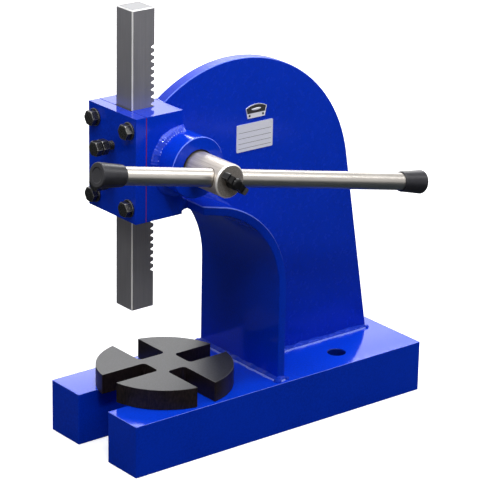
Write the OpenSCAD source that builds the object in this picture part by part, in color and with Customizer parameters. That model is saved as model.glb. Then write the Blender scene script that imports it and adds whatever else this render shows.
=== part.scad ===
// Rack and pinion arbor press: a welded plate frame, a square rack that a hand lever
// drives through a pinion, and a slotted arbor plate that turns on the base.
// Millimetres. The origin is the middle of the base's underside, +X points to the
// lever side, -Y to the front and +Z up.

/* [Base] */
// Width of the base across the press
base_w = 164; // [160:1:180]
// Length of the base from front to back
base_l = 420; // [410:1:440]
// Thickness of the base
base_h = 62; // [50:1:70]
// Corner radius of the base in plan
base_corner_r = 1; // [0.5:0.5:4]
// Width of the open slot in the front of the base
base_slot_w = 57; // [45:1:60]
// Distance of the ram axis behind the front of the base
ram_inset = 57.5; // [50:0.5:60]
// Diameter of the two bench bolt holes
bench_hole_d = 20.5; // [12:0.5:22]
// Spacing of the two bench bolt holes across the press
bench_hole_gap = 95; // [80:1:100]
// Distance of the bench bolt holes in front of the back of the base
bench_hole_inset = 102; // [80:1:110]

/* [Arbor plate] */
// Diameter of the turning arbor plate
plate_d = 158; // [140:1:160]
// Thickness of the arbor plate
plate_t = 24; // [20:1:26]
// Distance of the arbor plate's centre behind the ram axis
plate_offset = 42.5; // [40:0.5:50]
// Widths of its four slots: lever side, back, far side and front
plate_slot_w = [24.5, 30, 36, 27]; // [20:0.5:38]
// Distances of the slots' inner ends from the plate's centre, in the same order
plate_slot_in = [21, 24.5, 24, 19]; // [18:0.5:28]
// Radius of the slots' inner corners
plate_slot_r = 5; // [2:0.5:8]
// Diameter of the pin that the plate turns on
pivot_d = 12; // [8:1:14]

/* [Rack and pinion] */
// Side of the square rack
rack_side = 30.5; // [28:0.5:32]
// Length of the rack
rack_len = 344.5; // [335:0.5:350]
// Chamfer on all the rack's edges
rack_chamfer = 1.2; // [0.5:0.1:2]
// Height of the rack's nose above the bench
rack_nose_z = 167.7; // [165:0.1:175]
// Gear module
gear_module = 2.55; // [2.5:0.01:2.56]
// Teeth on the pinion
pinion_teeth = 12; // [12:1:12]
// Height of the rack's teeth above the pitch line
rack_addendum = 1.75; // [1.5:0.05:1.75]
// Gaps cut in the rack below the shaft axis
gaps_below = 17; // [14:1:17]
// Gaps cut in the rack above the shaft axis
gaps_above = 16; // [14:1:16]
// Thinning of each tooth at the pitch line
tooth_thinning = 0.2; // [0.15:0.05:0.3]
// Depth that the rack's back is set in below its teeth
rack_relief = 1; // [0.5:0.1:1.5]

/* [Head] */
// Width of the rack housing
head_w = 88; // [80:1:92]
// Height of the rack housing
head_h = 119.5; // [112:0.5:124]
// Depth of the rack housing behind its joint with the cover
head_d = 48.5; // [44:0.5:50]
// Height of the housing's underside above the bench
head_z = 281.5; // [280:0.5:284]
// Distance of the joint in front of the rack
joint_lip = 1.5; // [1:0.5:3]
// Thickness of the bolted cover
cover_t = 13.5; // [12:0.5:16]
// Thickness of the shims under the cover
shim_t = 0.8; // [0.5:0.1:1.5]
// Width of the sliding gib strip
gib_w = 24; // [20:1:26]
// Thickness of the gib strip
gib_t = 6; // [4:0.5:7]
// Length of the gib strip
gib_len = 103; // [90:1:104]

/* [Pinion bearing] */
// Height of the pinion shaft above the bench
shaft_z = 344; // [342:0.5:346]
// Diameter of the pinion shaft
shaft_d = 38; // [36.5:0.5:40]
// Outer diameter of the bearing boss
boss_d = 69; // [60:1:70]
// Distance of the boss's outer face from the middle of the press
boss_face_x = 76; // [70:0.5:80]
// Length of the boss that stands out on the far side
boss_far = 12; // [10:1:20]
// Distance of the shaft's lever end from the middle of the press
shaft_end_x = 132; // [128:0.5:136]

/* [Lever] */
// Diameter of the lever bar
lever_d = 20; // [18:0.5:20]
// Distance of the lever bar from the shaft's end
lever_inset = 15; // [14:0.5:18]
// Tilt of the lever, back end down
lever_tilt = 12; // [0:0.5:30]
// Reach of the lever's front end from the shaft axis
lever_front = 167; // [140:0.5:200]
// Reach of the lever's back end from the shaft axis
lever_back = 297; // [250:0.5:330]
// Diameter of the rubber end caps
cap_d = 27.5; // [25:0.5:30]
// Length of the rubber end caps
cap_len = 33; // [30:0.5:50]
// Thickness of the closed end of the caps
cap_end_t = 4; // [3:0.5:6]
// Edge radius of the caps
cap_r = 2.5; // [1:0.5:4]

/* [Lever clamp] */
// Diameter of the clamp screw
clamp_d = 10; // [8:1:10]
// Span of the two wings
wing_span = 36; // [32:1:44]
// Thickness of the wings
wing_t = 8; // [6:0.5:10]
// Diameter of the hub between the wings
wing_hub_d = 17; // [14:0.5:18]
// Length of the knob along the screw
wing_h = 13; // [10:0.5:16]
// Angle of the wings, back wing below the level
wing_angle = -42; // [-90:1:90]

/* [Frame plates] */
// Thickness of the upright web
web_t = 15; // [10:1:16]
// Radius of the web's round back
web_r = 169.5; // [168:0.5:171]
// Centre of the round back, behind the ram axis
web_arc_y = 134; // [133:0.5:135]
// Centre of the round back, above the bench
web_arc_z = 263.5; // [262:0.5:265]
// Angle at which the round back runs out into the straight back edge
web_back_angle = 9.8; // [8:0.1:12]
// Angle past the vertical at which it runs out into the front edge
web_front_angle = 36; // [30:0.5:36]
// Width of the bent throat plate
throat_w = 146; // [120:1:148]
// Thickness of the throat plate
throat_t = 10; // [8:0.5:12]
// Clear depth of the throat behind the ram axis
throat_depth = 150; // [149:0.5:154]
// Inner bend radius of the throat plate
throat_r = 111; // [108:0.5:112]
// Height at which the bend starts
throat_bend_z = 172.5; // [168:0.5:173]
// Angle of the bend
throat_angle = 77; // [75:0.5:78]
// Distance of the throat plate's front end behind the ram axis
throat_end = 38.5; // [37:0.5:42]
// Leg of the plate welds
weld_leg = 5; // [4:0.5:8]
// Leg of the welds round the boss
boss_weld_leg = 6; // [4:0.5:9]

/* [Fasteners] */
// Diameter of the bolts in the cover
bolt_d = 10; // [8:1:10]
// Width across the flats of the hexagons
hex_af = 16; // [13:1:18]
// Height of the bolt heads
hex_h = 7; // [5:0.5:8]
// Height of the lock nuts
nut_h = 8; // [5:0.5:9]
// Diameter of the washers
washer_d = 20; // [18:0.5:24]
// Thickness of the washers
washer_t = 2; // [1:0.5:3]
// Distance of the cover bolts from the middle, sideways
cover_bolt_x = 31.5; // [30:0.5:32]
// Distance of the cover bolts from the middle of the cover, up and down
cover_bolt_z = 44; // [43:0.5:46]
// Distance of the gib screws from the middle of the cover, up and down
gib_screw_z = 20; // [14:0.5:24]
// Reach of the gib screws in front of the cover
gib_screw_out = 25; // [22:0.5:30]

/* [Plates] */
// Width of the bare badge across its shoulders
badge_w = 30; // [26:1:36]
// Width of the badge at its foot
badge_foot_w = 24.5; // [20:0.5:26]
// Height of the bare badge
badge_h = 16; // [12:0.5:20]
// Height of the badge's arch above its shoulders
badge_arch = 4; // [2:0.5:6]
// Width of the bare data plate
data_w = 52; // [40:1:60]
// Height of the bare data plate
data_h = 32; // [24:1:34]
// Thickness of both plates
plaque_t = 1; // [0.5:0.1:1.5]
// Diameter of the badge's rivets
rivet_d = 2.5; // [2:0.5:4]

/* [Hidden] */
$fn = 64;
eps = 0.01;
far = 400;

// Running fits and gaps
slide_gap = 0.08;
turn_gap = 0.05;
body_gap = 0.3;
bolt_gap = 0.05;
bolt_clearance = 0.5;

// Places in the frame
ram_y = ram_inset - base_l / 2;
plate_y = ram_y + plate_offset;
joint_y = ram_y - rack_side / 2 - joint_lip;
head_back_y = joint_y + head_d;
head_top_z = head_z + head_h;
head_mid_z = head_z + head_h / 2;
cover_back_y = joint_y - shim_t;
cover_front_y = cover_back_y - cover_t;
bench_hole_y = base_l / 2 - bench_hole_inset;
channel_half = rack_side / 2 + slide_gap;
channel_back_y = ram_y + channel_half;

// Gearing
pitch = PI * gear_module;
pitch_r = gear_module * pinion_teeth / 2;
pressure = 20;
base_r = pitch_r * cos(pressure);
tip_r = pitch_r + gear_module;
root_clearance = 1;
root_r = pitch_r - rack_addendum - root_clearance;
gap_depth = rack_addendum + gear_module + root_clearance;
tooth_half = (pitch / 2 - tooth_thinning) / 2;
gap_half = pitch / 2 - tooth_half;
gear_half = rack_side / 2 + 1;
shaft_y = ram_y + rack_side / 2 - rack_addendum + pitch_r;
shaft_r = shaft_d / 2;
boss_r = boss_d / 2;
boss_far_x = -head_w / 2 - boss_far;

// Far end of the shaft
thrust_t = 2;
ring_t = 1.75;
ring_groove = 1.5;
thrust_x = boss_far_x - body_gap - thrust_t;
ring_x = thrust_x - ring_t;
shaft_far_x = ring_x - 4;
shaft_chamfer = 1.5;

// Lever and clamp
lever_x = shaft_end_x - lever_inset;
clamp_pad_x = lever_x + lever_d / 2 + body_gap;
clamp_pad_t = 1.5;
clamp_stud_x = clamp_pad_x + clamp_pad_t + body_gap;
wing_x = shaft_end_x + 1;
clamp_stud_in = 9;

// Throat and web outlines, as [y, z]; the apex is where the web's straight edges would meet
throat_front_y = ram_y + throat_depth;
throat_back_y = throat_front_y + throat_t;
throat_end_y = ram_y + throat_end;
throat_outer_r = throat_r + throat_t;
bend = [throat_front_y - throat_r, throat_bend_z];
web_arc = [ram_y + web_arc_y, web_arc_z];
web_back_turn = web_arc + web_r * [cos(web_back_angle), sin(web_back_angle)];
web_front_turn = web_arc + web_r * [-sin(web_front_angle), cos(web_front_angle)];
web_half_sweep = (90 + web_front_angle - web_back_angle) / 2;
web_apex_turn = web_back_angle + web_half_sweep;
web_apex = web_arc + web_r / cos(web_half_sweep) * [cos(web_apex_turn), sin(web_apex_turn)];
web_foot_y = web_back_turn.x + (web_back_turn.y - base_h) * tan(web_back_angle);
web_nose_z = web_front_turn.y - (web_front_turn.x - head_back_y) * tan(web_front_angle);
web_boss_gap = 0.2;

// Bare plates on the lever side of the web
badge_mid = [ram_y + 163, 360.2];
badge_rivet_in = 2.5;
badge_rivet_up = 3;
badge_rivet_h = 1;
data_mid = [ram_y + 161.4, 338.4];

// Cover fasteners
cover_bolt_in = 20;
gib_back_y = ram_y - channel_half;
gib_front_y = gib_back_y - gib_t;
gib_pocket_gap = 0.5;
gib_head_gap = 1.5;

// Pivot pin of the arbor plate
pivot_in = 20;
pivot_up = 15;

paint = [0.02, 0.08, 0.52];
black_oxide = [0.12, 0.12, 0.13];
rubber = [0.09, 0.09, 0.1];
steel = [0.72, 0.7, 0.66];
dark_steel = [0.4, 0.4, 0.42];
brass = [0.75, 0.6, 0.3];
fibre = [0.35, 0.08, 0.08];
silver = [0.8, 0.8, 0.8];

// An outline in [y, z], extruded across the press from x0 to x1
module along_x(x0, x1) {
    translate([x0, 0, 0])
        rotate([90, 0, 90])
            linear_extrude(x1 - x0)
                children();
}

// An outline in [x, z], extruded from front to back
module along_y(y0, y1) {
    translate([0, y1, 0])
        rotate([90, 0, 0])
            linear_extrude(y1 - y0)
                children();
}

// A round bar along X
module bar_x(d, x0, x1) {
    translate([x0, 0, 0])
        rotate([0, 90, 0])
            cylinder(d = d, h = x1 - x0);
}

// A round bar along Y
module bar_y(d, y0, y1) {
    translate([0, y1, 0])
        rotate([90, 0, 0])
            cylinder(d = d, h = y1 - y0);
}

// A hexagonal bar along Y, with two flats level
module hex_y(af, y0, y1) {
    translate([0, y1, 0])
        rotate([90, 0, 0])
            cylinder(d = af / cos(30), h = y1 - y0, $fn = 6);
}

// The same shape on both sides of the press
module both_sides() {
    for (side = [0, 1])
        mirror([side, 0, 0])
            children();
}

// The outline of a fillet weld in the corner of two plates
module fillet(leg) {
    polygon([[0, 0], [leg, 0], [0, leg]]);
}

// A fillet weld round a bar along X, on a face at x
module ring_weld(d, x, leg) {
    rotate([90, 0, 90])
        rotate_extrude()
            polygon([[d / 2, x], [d / 2 + leg, x], [d / 2, x + leg]]);
}

module at_shaft() {
    translate([0, shaft_y, shaft_z])
        children();
}

module at_cover_bolts() {
    for (x = [-1, 1], z = [-1, 1])
        translate([x * cover_bolt_x, 0, head_mid_z + z * cover_bolt_z])
            children();
}

module at_gib_screws() {
    for (z = [-1, 1])
        translate([0, 0, head_mid_z + z * gib_screw_z])
            children();
}

// The square way of the rack through the head
module rack_channel() {
    translate([-channel_half, cover_back_y - eps, 0])
        cube([2 * channel_half, channel_back_y - cover_back_y + eps, far + base_h]);
}

module base_plate() {
    slot_r = base_slot_w / 2;
    color(paint)
        difference() {
            linear_extrude(base_h)
                difference() {
                    rounded_plan(base_w, base_l, base_corner_r);
                    translate([-slot_r, ram_y - far])
                        square([base_slot_w, far]);
                    translate([0, ram_y])
                        circle(r = slot_r);
                    for (x = [-1, 1])
                        translate([x * bench_hole_gap / 2, bench_hole_y])
                            circle(d = bench_hole_d);
                }
            translate([0, plate_y, base_h - pivot_in])
                cylinder(d = pivot_d, h = far);
        }
}

// A rectangle with round corners, from true arcs
module rounded_plan(w, l, r) {
    square([w - 2 * r, l], center = true);
    square([w, l - 2 * r], center = true);
    for (x = [-1, 1], y = [-1, 1])
        translate([x * (w / 2 - r), y * (l / 2 - r)])
            circle(r = r);
}

// What the throat plate leaves open in front of and under the web
module throat_void() {
    arc_end = bend + throat_outer_r * [cos(throat_angle), sin(throat_angle)];
    lip_z = arc_end.y + (arc_end.x - head_back_y) / tan(throat_angle);
    translate([throat_back_y - far, 0])
        square([far, throat_bend_z]);
    translate(bend)
        circle(r = throat_outer_r, $fn = 128);
    polygon([
        arc_end, [head_back_y, lip_z], [head_back_y - far, lip_z],
        [head_back_y - far, throat_bend_z], bend
    ]);
}

module web_plate() {
    color(paint)
        difference() {
            along_x(-web_t / 2, web_t / 2)
                difference() {
                    polygon([
                        [head_back_y, base_h], [head_back_y, web_nose_z],
                        web_apex, [web_foot_y, base_h]
                    ]);
                    translate(web_arc)
                        difference() {
                            polygon([
                                [0, 0], 2 * (web_front_turn - web_arc),
                                2 * (web_apex - web_arc), 2 * (web_back_turn - web_arc)
                            ]);
                            circle(r = web_r, $fn = 128);
                        }
                    throat_void();
                }
            at_shaft()
                bar_x(boss_d + 2 * web_boss_gap, -far, far);
        }
}

module throat_plate() {
    inner_end = bend + throat_r * [cos(throat_angle), sin(throat_angle)];
    outer_end = bend + throat_outer_r * [cos(throat_angle), sin(throat_angle)];
    inner_lip_z = inner_end.y + (inner_end.x - throat_end_y) / tan(throat_angle);
    outer_lip_z = outer_end.y + (outer_end.x - throat_end_y) / tan(throat_angle);
    color(paint)
        along_x(-throat_w / 2, throat_w / 2) {
            translate([throat_front_y, base_h])
                square([throat_t, throat_bend_z - base_h]);
            translate(bend)
                intersection() {
                    difference() {
                        circle(r = throat_outer_r, $fn = 128);
                        circle(r = throat_r, $fn = 128);
                    }
                    polygon([
                        [0, 0], [far, 0], [far, far],
                        far * [cos(throat_angle), sin(throat_angle)]
                    ]);
                }
            polygon([inner_end, outer_end, [throat_end_y, outer_lip_z], [throat_end_y, inner_lip_z]]);
        }
}

module rack_housing() {
    color(paint)
        difference() {
            translate([-head_w / 2, joint_y, head_z])
                cube([head_w, head_d, head_h]);
            rack_channel();
            at_shaft()
                bar_x(boss_d, -far, far);
            at_cover_bolts()
                bar_y(bolt_d, joint_y - eps, joint_y + cover_bolt_in + 2);
        }
}

module pinion_boss() {
    color(paint)
        difference() {
            at_shaft()
                bar_x(boss_d, boss_far_x, boss_face_x);
            at_shaft()
                bar_x(shaft_d + 2 * turn_gap, -far, far);
            rack_channel();
        }
}

module base_welds() {
    color(paint)
        union() {
            both_sides() {
                along_y(throat_back_y + weld_leg, web_foot_y)
                    translate([web_t / 2, base_h])
                        fillet(weld_leg);
                along_y(throat_front_y, throat_back_y)
                    translate([throat_w / 2, base_h])
                        fillet(weld_leg);
                along_x(web_t / 2, throat_w / 2)
                    translate([throat_back_y, base_h])
                        fillet(weld_leg);
            }
            along_x(-throat_w / 2, throat_w / 2)
                translate([throat_front_y, base_h])
                    mirror([1, 0])
                        fillet(weld_leg);
        }
}

// One side of the weld between the web and the throat plate
module throat_seam() {
    arc_end = bend + throat_outer_r * [cos(throat_angle), sin(throat_angle)];
    lip_run = (arc_end.x - throat_end_y) / sin(throat_angle);
    seam_z = base_h + weld_leg;
    translate([web_t / 2, throat_back_y, seam_z])
        linear_extrude(throat_bend_z - seam_z)
            fillet(weld_leg);
    translate([0, bend.x, bend.y])
        rotate([90, 0, 90])
            rotate_extrude(angle = throat_angle, $fn = 128)
                translate([throat_outer_r, web_t / 2])
                    fillet(weld_leg);
    translate([web_t / 2, arc_end.x, arc_end.y])
        rotate([throat_angle, 0, 0])
            linear_extrude(lip_run)
                fillet(weld_leg);
}

module frame_welds() {
    arc_end = bend + throat_outer_r * [cos(throat_angle), sin(throat_angle)];
    lip_slope = 1 / tan(throat_angle);
    outer_lip_z = arc_end.y + (arc_end.x - throat_end_y) * lip_slope;
    inner_lip_z = outer_lip_z - throat_t / sin(throat_angle);
    seam_top_z = arc_end.y + (arc_end.x - head_back_y) * lip_slope;
    upright_z = shaft_z + boss_r;
    color(paint)
        union() {
            both_sides() {
                throat_seam();
                translate([web_t / 2, head_back_y, upright_z])
                    linear_extrude(head_top_z - weld_leg - upright_z)
                        fillet(weld_leg);
                intersection() {
                    at_shaft()
                        ring_weld(boss_d, web_t / 2, weld_leg);
                    translate([0, head_back_y, shaft_z - boss_d])
                        cube([far, far, 2 * boss_d]);
                }
            }
            along_x(-head_w / 2, head_w / 2)
                polygon([
                    [head_back_y, inner_lip_z], [throat_end_y, inner_lip_z],
                    [throat_end_y, outer_lip_z], [head_back_y, seam_top_z]
                ]);
        }
}

module boss_welds() {
    color(paint)
        both_sides()
            intersection() {
                at_shaft()
                    ring_weld(boss_d, head_w / 2, boss_weld_leg);
                translate([0, head_back_y - far, head_z])
                    cube([far, far, head_h]);
            }
}

module guide_cover() {
    pocket_w = gib_w + 4 * slide_gap;
    pocket_len = gib_len + 4 * slide_gap;
    color(paint)
        difference() {
            translate([-head_w / 2, cover_front_y, head_z])
                cube([head_w, cover_t, head_h]);
            translate([-pocket_w / 2, gib_front_y - gib_pocket_gap, head_mid_z - pocket_len / 2])
                cube([pocket_w, far, pocket_len]);
            at_cover_bolts()
                bar_y(bolt_d + bolt_clearance, cover_front_y - eps, cover_back_y + eps);
            at_gib_screws()
                bar_y(bolt_d, cover_front_y - eps, cover_back_y + eps);
        }
}

module cover_shims() {
    color(fibre)
        difference() {
            translate([-head_w / 2, cover_back_y, head_z])
                cube([head_w, shim_t, head_h]);
            rack_channel();
            at_cover_bolts()
                bar_y(bolt_d + bolt_clearance, cover_back_y - eps, joint_y + eps);
        }
}

module gib_strip() {
    color(brass)
        translate([-gib_w / 2, gib_front_y, head_mid_z - gib_len / 2])
            cube([gib_w, gib_t, gib_len]);
}

module cover_bolts() {
    under_y = cover_front_y - washer_t;
    color(black_oxide)
        at_cover_bolts() {
            hex_y(hex_af, under_y - hex_h, under_y);
            bar_y(bolt_d - 2 * bolt_gap, under_y - eps, joint_y + cover_bolt_in);
        }
}

module cover_washers() {
    color(black_oxide)
        at_cover_bolts()
            difference() {
                bar_y(washer_d, cover_front_y - washer_t, cover_front_y);
                bar_y(bolt_d + bolt_clearance, cover_front_y - far, cover_front_y + eps);
            }
}

module gib_screws() {
    head_y = cover_front_y - gib_screw_out;
    color(black_oxide)
        at_gib_screws() {
            hex_y(hex_af, head_y, head_y + hex_h);
            bar_y(bolt_d - 2 * bolt_gap, head_y + hex_h - eps, gib_front_y);
        }
}

module gib_lock_nuts() {
    nut_y = cover_front_y - gib_screw_out + hex_h + gib_head_gap;
    color(black_oxide)
        at_gib_screws()
            difference() {
                hex_y(hex_af, nut_y, nut_y + nut_h);
                bar_y(bolt_d, nut_y - eps, nut_y + nut_h + eps);
            }
}

module table_pivot() {
    color(steel)
        translate([0, plate_y, base_h - pivot_in])
            cylinder(d = pivot_d - 2 * bolt_gap, h = pivot_in + pivot_up);
}

// The badge's outline: a low arch over sides that close in to a straight foot
module badge_outline() {
    arch_r = (pow(badge_w / 2, 2) + pow(badge_arch, 2)) / (2 * badge_arch);
    shoulder = badge_h - badge_arch;
    spread = (badge_w - badge_foot_w) / 2 / shoulder;
    top_half = badge_foot_w / 2 + badge_h * spread;
    intersection() {
        polygon([
            [-badge_foot_w / 2, 0], [badge_foot_w / 2, 0],
            [top_half, badge_h], [-top_half, badge_h]
        ]);
        translate([0, badge_h - arch_r])
            circle(r = arch_r);
    }
}

module badge_plate() {
    color(silver)
        along_x(web_t / 2, web_t / 2 + plaque_t)
            translate(badge_mid)
                badge_outline();
}

module badge_rivets() {
    rivet_y = badge_foot_w / 2 - badge_rivet_in;
    face_x = web_t / 2 + plaque_t;
    color(black_oxide)
        for (side = [-1, 1])
            translate([0, badge_mid.x + side * rivet_y, badge_mid.y + badge_rivet_up])
                bar_x(rivet_d, face_x, face_x + badge_rivet_h);
}

module data_plate() {
    color(silver)
        along_x(web_t / 2, web_t / 2 + plaque_t)
            translate(data_mid)
                rounded_plan(data_w, data_h, 1);
}

// Point of the involute at radius r, on the upper flank of a tooth that points along +X
function flank_point(r) =
    let (
        roll = acos(base_r / r),
        half_turn = tooth_half / pitch_r * 180 / PI + tan(pressure) * 180 / PI - pressure,
        turn = half_turn - (tan(roll) * 180 / PI - roll)
    )
    r * [cos(turn), sin(turn)];

// One pinion tooth along +X: straight flanks below the base circle, involutes above it
module pinion_tooth() {
    steps = 6;
    foot = (root_r - 0.5) / base_r;
    upper = [for (i = [0:steps]) flank_point(base_r + (tip_r - base_r) * i / steps)];
    lower = [for (i = [steps:-1:0]) [upper[i].x, -upper[i].y]];
    polygon(concat(
        [foot * upper[0]], upper, lower, [foot * [upper[0].x, -upper[0].y]]
    ));
}

module pinion_shaft() {
    color(steel)
        difference() {
            at_shaft() {
                along_x(-gear_half, gear_half) {
                    circle(r = root_r);
                    for (i = [0:pinion_teeth - 1])
                        rotate((i + 0.5) * 360 / pinion_teeth)
                            pinion_tooth();
                }
                bar_x(shaft_d, gear_half, shaft_end_x - shaft_chamfer);
                bar_x(shaft_d, shaft_far_x, -gear_half);
                translate([shaft_end_x - shaft_chamfer, 0, 0])
                    rotate([0, 90, 0])
                        cylinder(r1 = shaft_r, r2 = shaft_r - shaft_chamfer, h = shaft_chamfer);
            }
            at_shaft()
                difference() {
                    bar_x(shaft_d + 2, ring_x, ring_x + ring_t);
                    bar_x(shaft_d - 2 * ring_groove, ring_x - eps, ring_x + ring_t + eps);
                }
            at_lever()
                cylinder(d = lever_d + 2 * turn_gap, h = 2 * shaft_d, center = true);
            at_shaft()
                bar_x(clamp_d + 2 * turn_gap, lever_x, shaft_end_x + eps);
        }
}

module thrust_washer() {
    color(steel)
        at_shaft()
            difference() {
                bar_x(boss_d - 8, thrust_x, thrust_x + thrust_t);
                bar_x(shaft_d + 2 * turn_gap, thrust_x - eps, thrust_x + thrust_t + eps);
            }
}

module retaining_ring() {
    outer_d = shaft_d + 7;
    inner_d = shaft_d - 2 * ring_groove;
    color(black_oxide)
        at_shaft()
            difference() {
                bar_x(outer_d, ring_x, ring_x + ring_t);
                bar_x(inner_d, ring_x - eps, ring_x + ring_t + eps);
                translate([ring_x - eps, -3, -outer_d])
                    cube([ring_t + 2 * eps, 6, outer_d]);
            }
}

// The lever's own frame: Z runs along the bar, from the shaft axis to the back end
module at_lever() {
    translate([lever_x, shaft_y, shaft_z])
        rotate([-90 - lever_tilt, 0, 0])
            children();
}

module lever_bar() {
    color(steel)
        at_lever()
            translate([0, 0, cap_end_t - lever_front])
                cylinder(d = lever_d, h = lever_front + lever_back - 2 * cap_end_t);
}

// A rubber cap, open at z = 0, with its closed end up
module lever_cap() {
    r = cap_d / 2;
    rotate_extrude()
        difference() {
            union() {
                square([r - cap_r, cap_len]);
                translate([0, cap_r])
                    square([r, cap_len - 2 * cap_r]);
                for (z = [cap_r, cap_len - cap_r])
                    translate([r - cap_r, z])
                        circle(r = cap_r);
            }
            translate([0, -eps])
                square([lever_d / 2, cap_len - cap_end_t + eps]);
        }
}

module lever_front_cap() {
    color(rubber)
        at_lever()
            translate([0, 0, cap_len - lever_front])
                mirror([0, 0, 1])
                    lever_cap();
}

module lever_back_cap() {
    color(rubber)
        at_lever()
            translate([0, 0, lever_back - cap_len])
                lever_cap();
}

module clamp_pad() {
    color(brass)
        at_shaft()
            bar_x(clamp_d, clamp_pad_x, clamp_pad_x + clamp_pad_t);
}

module clamp_stud() {
    color(black_oxide)
        at_shaft()
            bar_x(clamp_d, clamp_stud_x, wing_x + clamp_stud_in);
}

module wing_knob() {
    color(black_oxide)
        at_shaft()
            difference() {
                union() {
                    bar_x(wing_hub_d, wing_x, wing_x + wing_h);
                    along_x(wing_x + 1, wing_x + wing_h - 1)
                        rotate(wing_angle) {
                            square([wing_span - wing_t, wing_t], center = true);
                            for (end = [-1, 1])
                                translate([end * (wing_span - wing_t) / 2, 0])
                                    circle(d = wing_t);
                        }
                }
                bar_x(clamp_d, wing_x - eps, wing_x + clamp_stud_in);
            }
}

// One gap of the rack, open towards +Y, with its root rounded in flats
module rack_gap() {
    slope = tan(pressure);
    flat_half = gap_half - (gap_depth - rack_addendum) * slope;
    round_r = flat_half * cos(pressure) / (1 - sin(pressure));
    mouth_half = gap_half + rack_addendum * slope;
    flats = 6;
    first_turn = 90 + pressure;
    flat_turn = (180 - 2 * pressure) / flats;
    root = [
        for (i = [0:flats])
            let (turn = first_turn + i * flat_turn)
                [round_r - gap_depth, 0] + round_r * [cos(turn), sin(turn)]
    ];
    polygon(concat(
        root, [[0, -mouth_half], [1, -mouth_half], [1, mouth_half], [0, mouth_half]]
    ));
}

// A rectangle with chamfered corners, from one corner at the origin
module chamfered(w, l, c) {
    polygon([[c, 0], [w - c, 0], [w, c], [w, l - c], [w - c, l], [c, l], [0, l - c], [0, c]]);
}

module rack() {
    front_y = ram_y - rack_side / 2;
    back_y = front_y + rack_side;
    low_gap_z = shaft_z - (gaps_below - 0.5) * pitch;
    color(dark_steel)
        intersection() {
            along_x(-rack_side / 2, rack_side / 2)
                difference() {
                    translate([front_y, rack_nose_z])
                        chamfered(rack_side, rack_len, rack_chamfer);
                    for (i = [1:gaps_below + gaps_above])
                        translate([back_y, low_gap_z + (i - 1) * pitch])
                            rack_gap();
                    translate([back_y - rack_relief, rack_nose_z - 1])
                        square([rack_relief + 1, low_gap_z - rack_nose_z + 1]);
                }
            along_y(front_y, front_y + rack_side)
                translate([-rack_side / 2, rack_nose_z])
                    chamfered(rack_side, rack_len, rack_chamfer);
            translate([-rack_side / 2, front_y, rack_nose_z])
                linear_extrude(rack_len)
                    chamfered(rack_side, rack_side, rack_chamfer);
        }
}

// One slot of the arbor plate along +X, with round inner corners
module plate_slot(w, inner) {
    r = plate_slot_r;
    translate([inner + r, -w / 2])
        square([far, w]);
    translate([inner, r - w / 2])
        square([far, w - 2 * r]);
    for (y = [-1, 1])
        translate([inner + r, y * (w / 2 - r)])
            circle(r = r);
}

module arbor_plate() {
    color(black_oxide)
        translate([0, plate_y, base_h + body_gap])
            difference() {
                linear_extrude(plate_t)
                    difference() {
                        circle(d = plate_d, $fn = 128);
                        for (i = [0:3])
                            rotate(90 * i)
                                plate_slot(plate_slot_w[i], plate_slot_in[i]);
                    }
                translate([0, 0, -eps])
                    cylinder(d = pivot_d + 2 * bolt_gap, h = pivot_up + 1);
            }
}

base_plate();
web_plate();
throat_plate();
rack_housing();
pinion_boss();
base_welds();
frame_welds();
boss_welds();
guide_cover();
cover_shims();
gib_strip();
cover_bolts();
cover_washers();
gib_screws();
gib_lock_nuts();
table_pivot();
badge_plate();
badge_rivets();
data_plate();
pinion_shaft();
thrust_washer();
retaining_ring();
lever_bar();
lever_front_cap();
lever_back_cap();
clamp_pad();
clamp_stud();
wing_knob();
rack();
arbor_plate();
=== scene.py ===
"""Looks of the rack and pinion press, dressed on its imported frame.

Sizes in this file are millimetres, and the meshes are metres, in the frame of the
solids: +X is the lever side, -Y the front and +Z up.
"""

import logging
import math
from collections.abc import Callable, Iterable, Mapping, Sequence
from dataclasses import dataclass
from enum import Enum

import bmesh
import bpy
from bmesh.types import BMEdge, BMesh, BMFace
from mathutils import Matrix, Vector, noise


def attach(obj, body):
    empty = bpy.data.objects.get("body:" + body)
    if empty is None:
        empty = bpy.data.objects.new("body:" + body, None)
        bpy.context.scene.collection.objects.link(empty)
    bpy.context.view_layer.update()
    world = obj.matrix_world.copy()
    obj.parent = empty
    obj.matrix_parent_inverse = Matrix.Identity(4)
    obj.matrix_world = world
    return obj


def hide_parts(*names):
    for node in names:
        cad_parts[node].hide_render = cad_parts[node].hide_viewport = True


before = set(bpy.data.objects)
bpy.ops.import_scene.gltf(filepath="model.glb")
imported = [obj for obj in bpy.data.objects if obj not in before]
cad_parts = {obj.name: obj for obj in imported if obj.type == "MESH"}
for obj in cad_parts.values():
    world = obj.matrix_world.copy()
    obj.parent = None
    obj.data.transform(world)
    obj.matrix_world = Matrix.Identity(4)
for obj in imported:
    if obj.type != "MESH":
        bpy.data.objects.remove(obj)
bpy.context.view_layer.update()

LOG = logging.getLogger("press")
MM = 0.001

Colour = tuple[float, float, float]
Span = tuple[float, float]
Profile = Sequence[Span]
Socket = bpy.types.NodeSocket

UNTURNED: Colour = (0.0, 0.0, 0.0)
EVEN: Colour = (1.0, 1.0, 1.0)
UNIT: Span = (0.0, 1.0)
X_AXIS = Vector((1.0, 0.0, 0.0))
Y_AXIS = Vector((0.0, 1.0, 0.0))
Z_AXIS = Vector((0.0, 0.0, 1.0))
SIDES = (-1.0, 1.0)

# Distances: points this close are merged, in a solid's copy and in a new piece, and points
# within LEVEL of a face count as level with it.
MERGE = 0.005
CLOSE = 0.002
LEVEL = 0.1
# Faces that turn by less than this, in degrees, become one flat.
FLAT_ANGLE = 0.3
# Parts of a face's normal along an axis: it faces the axis, leans to it, or is aslant.
FACING = 0.9
LEANING = 0.5
ASLANT = 0.3

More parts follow.
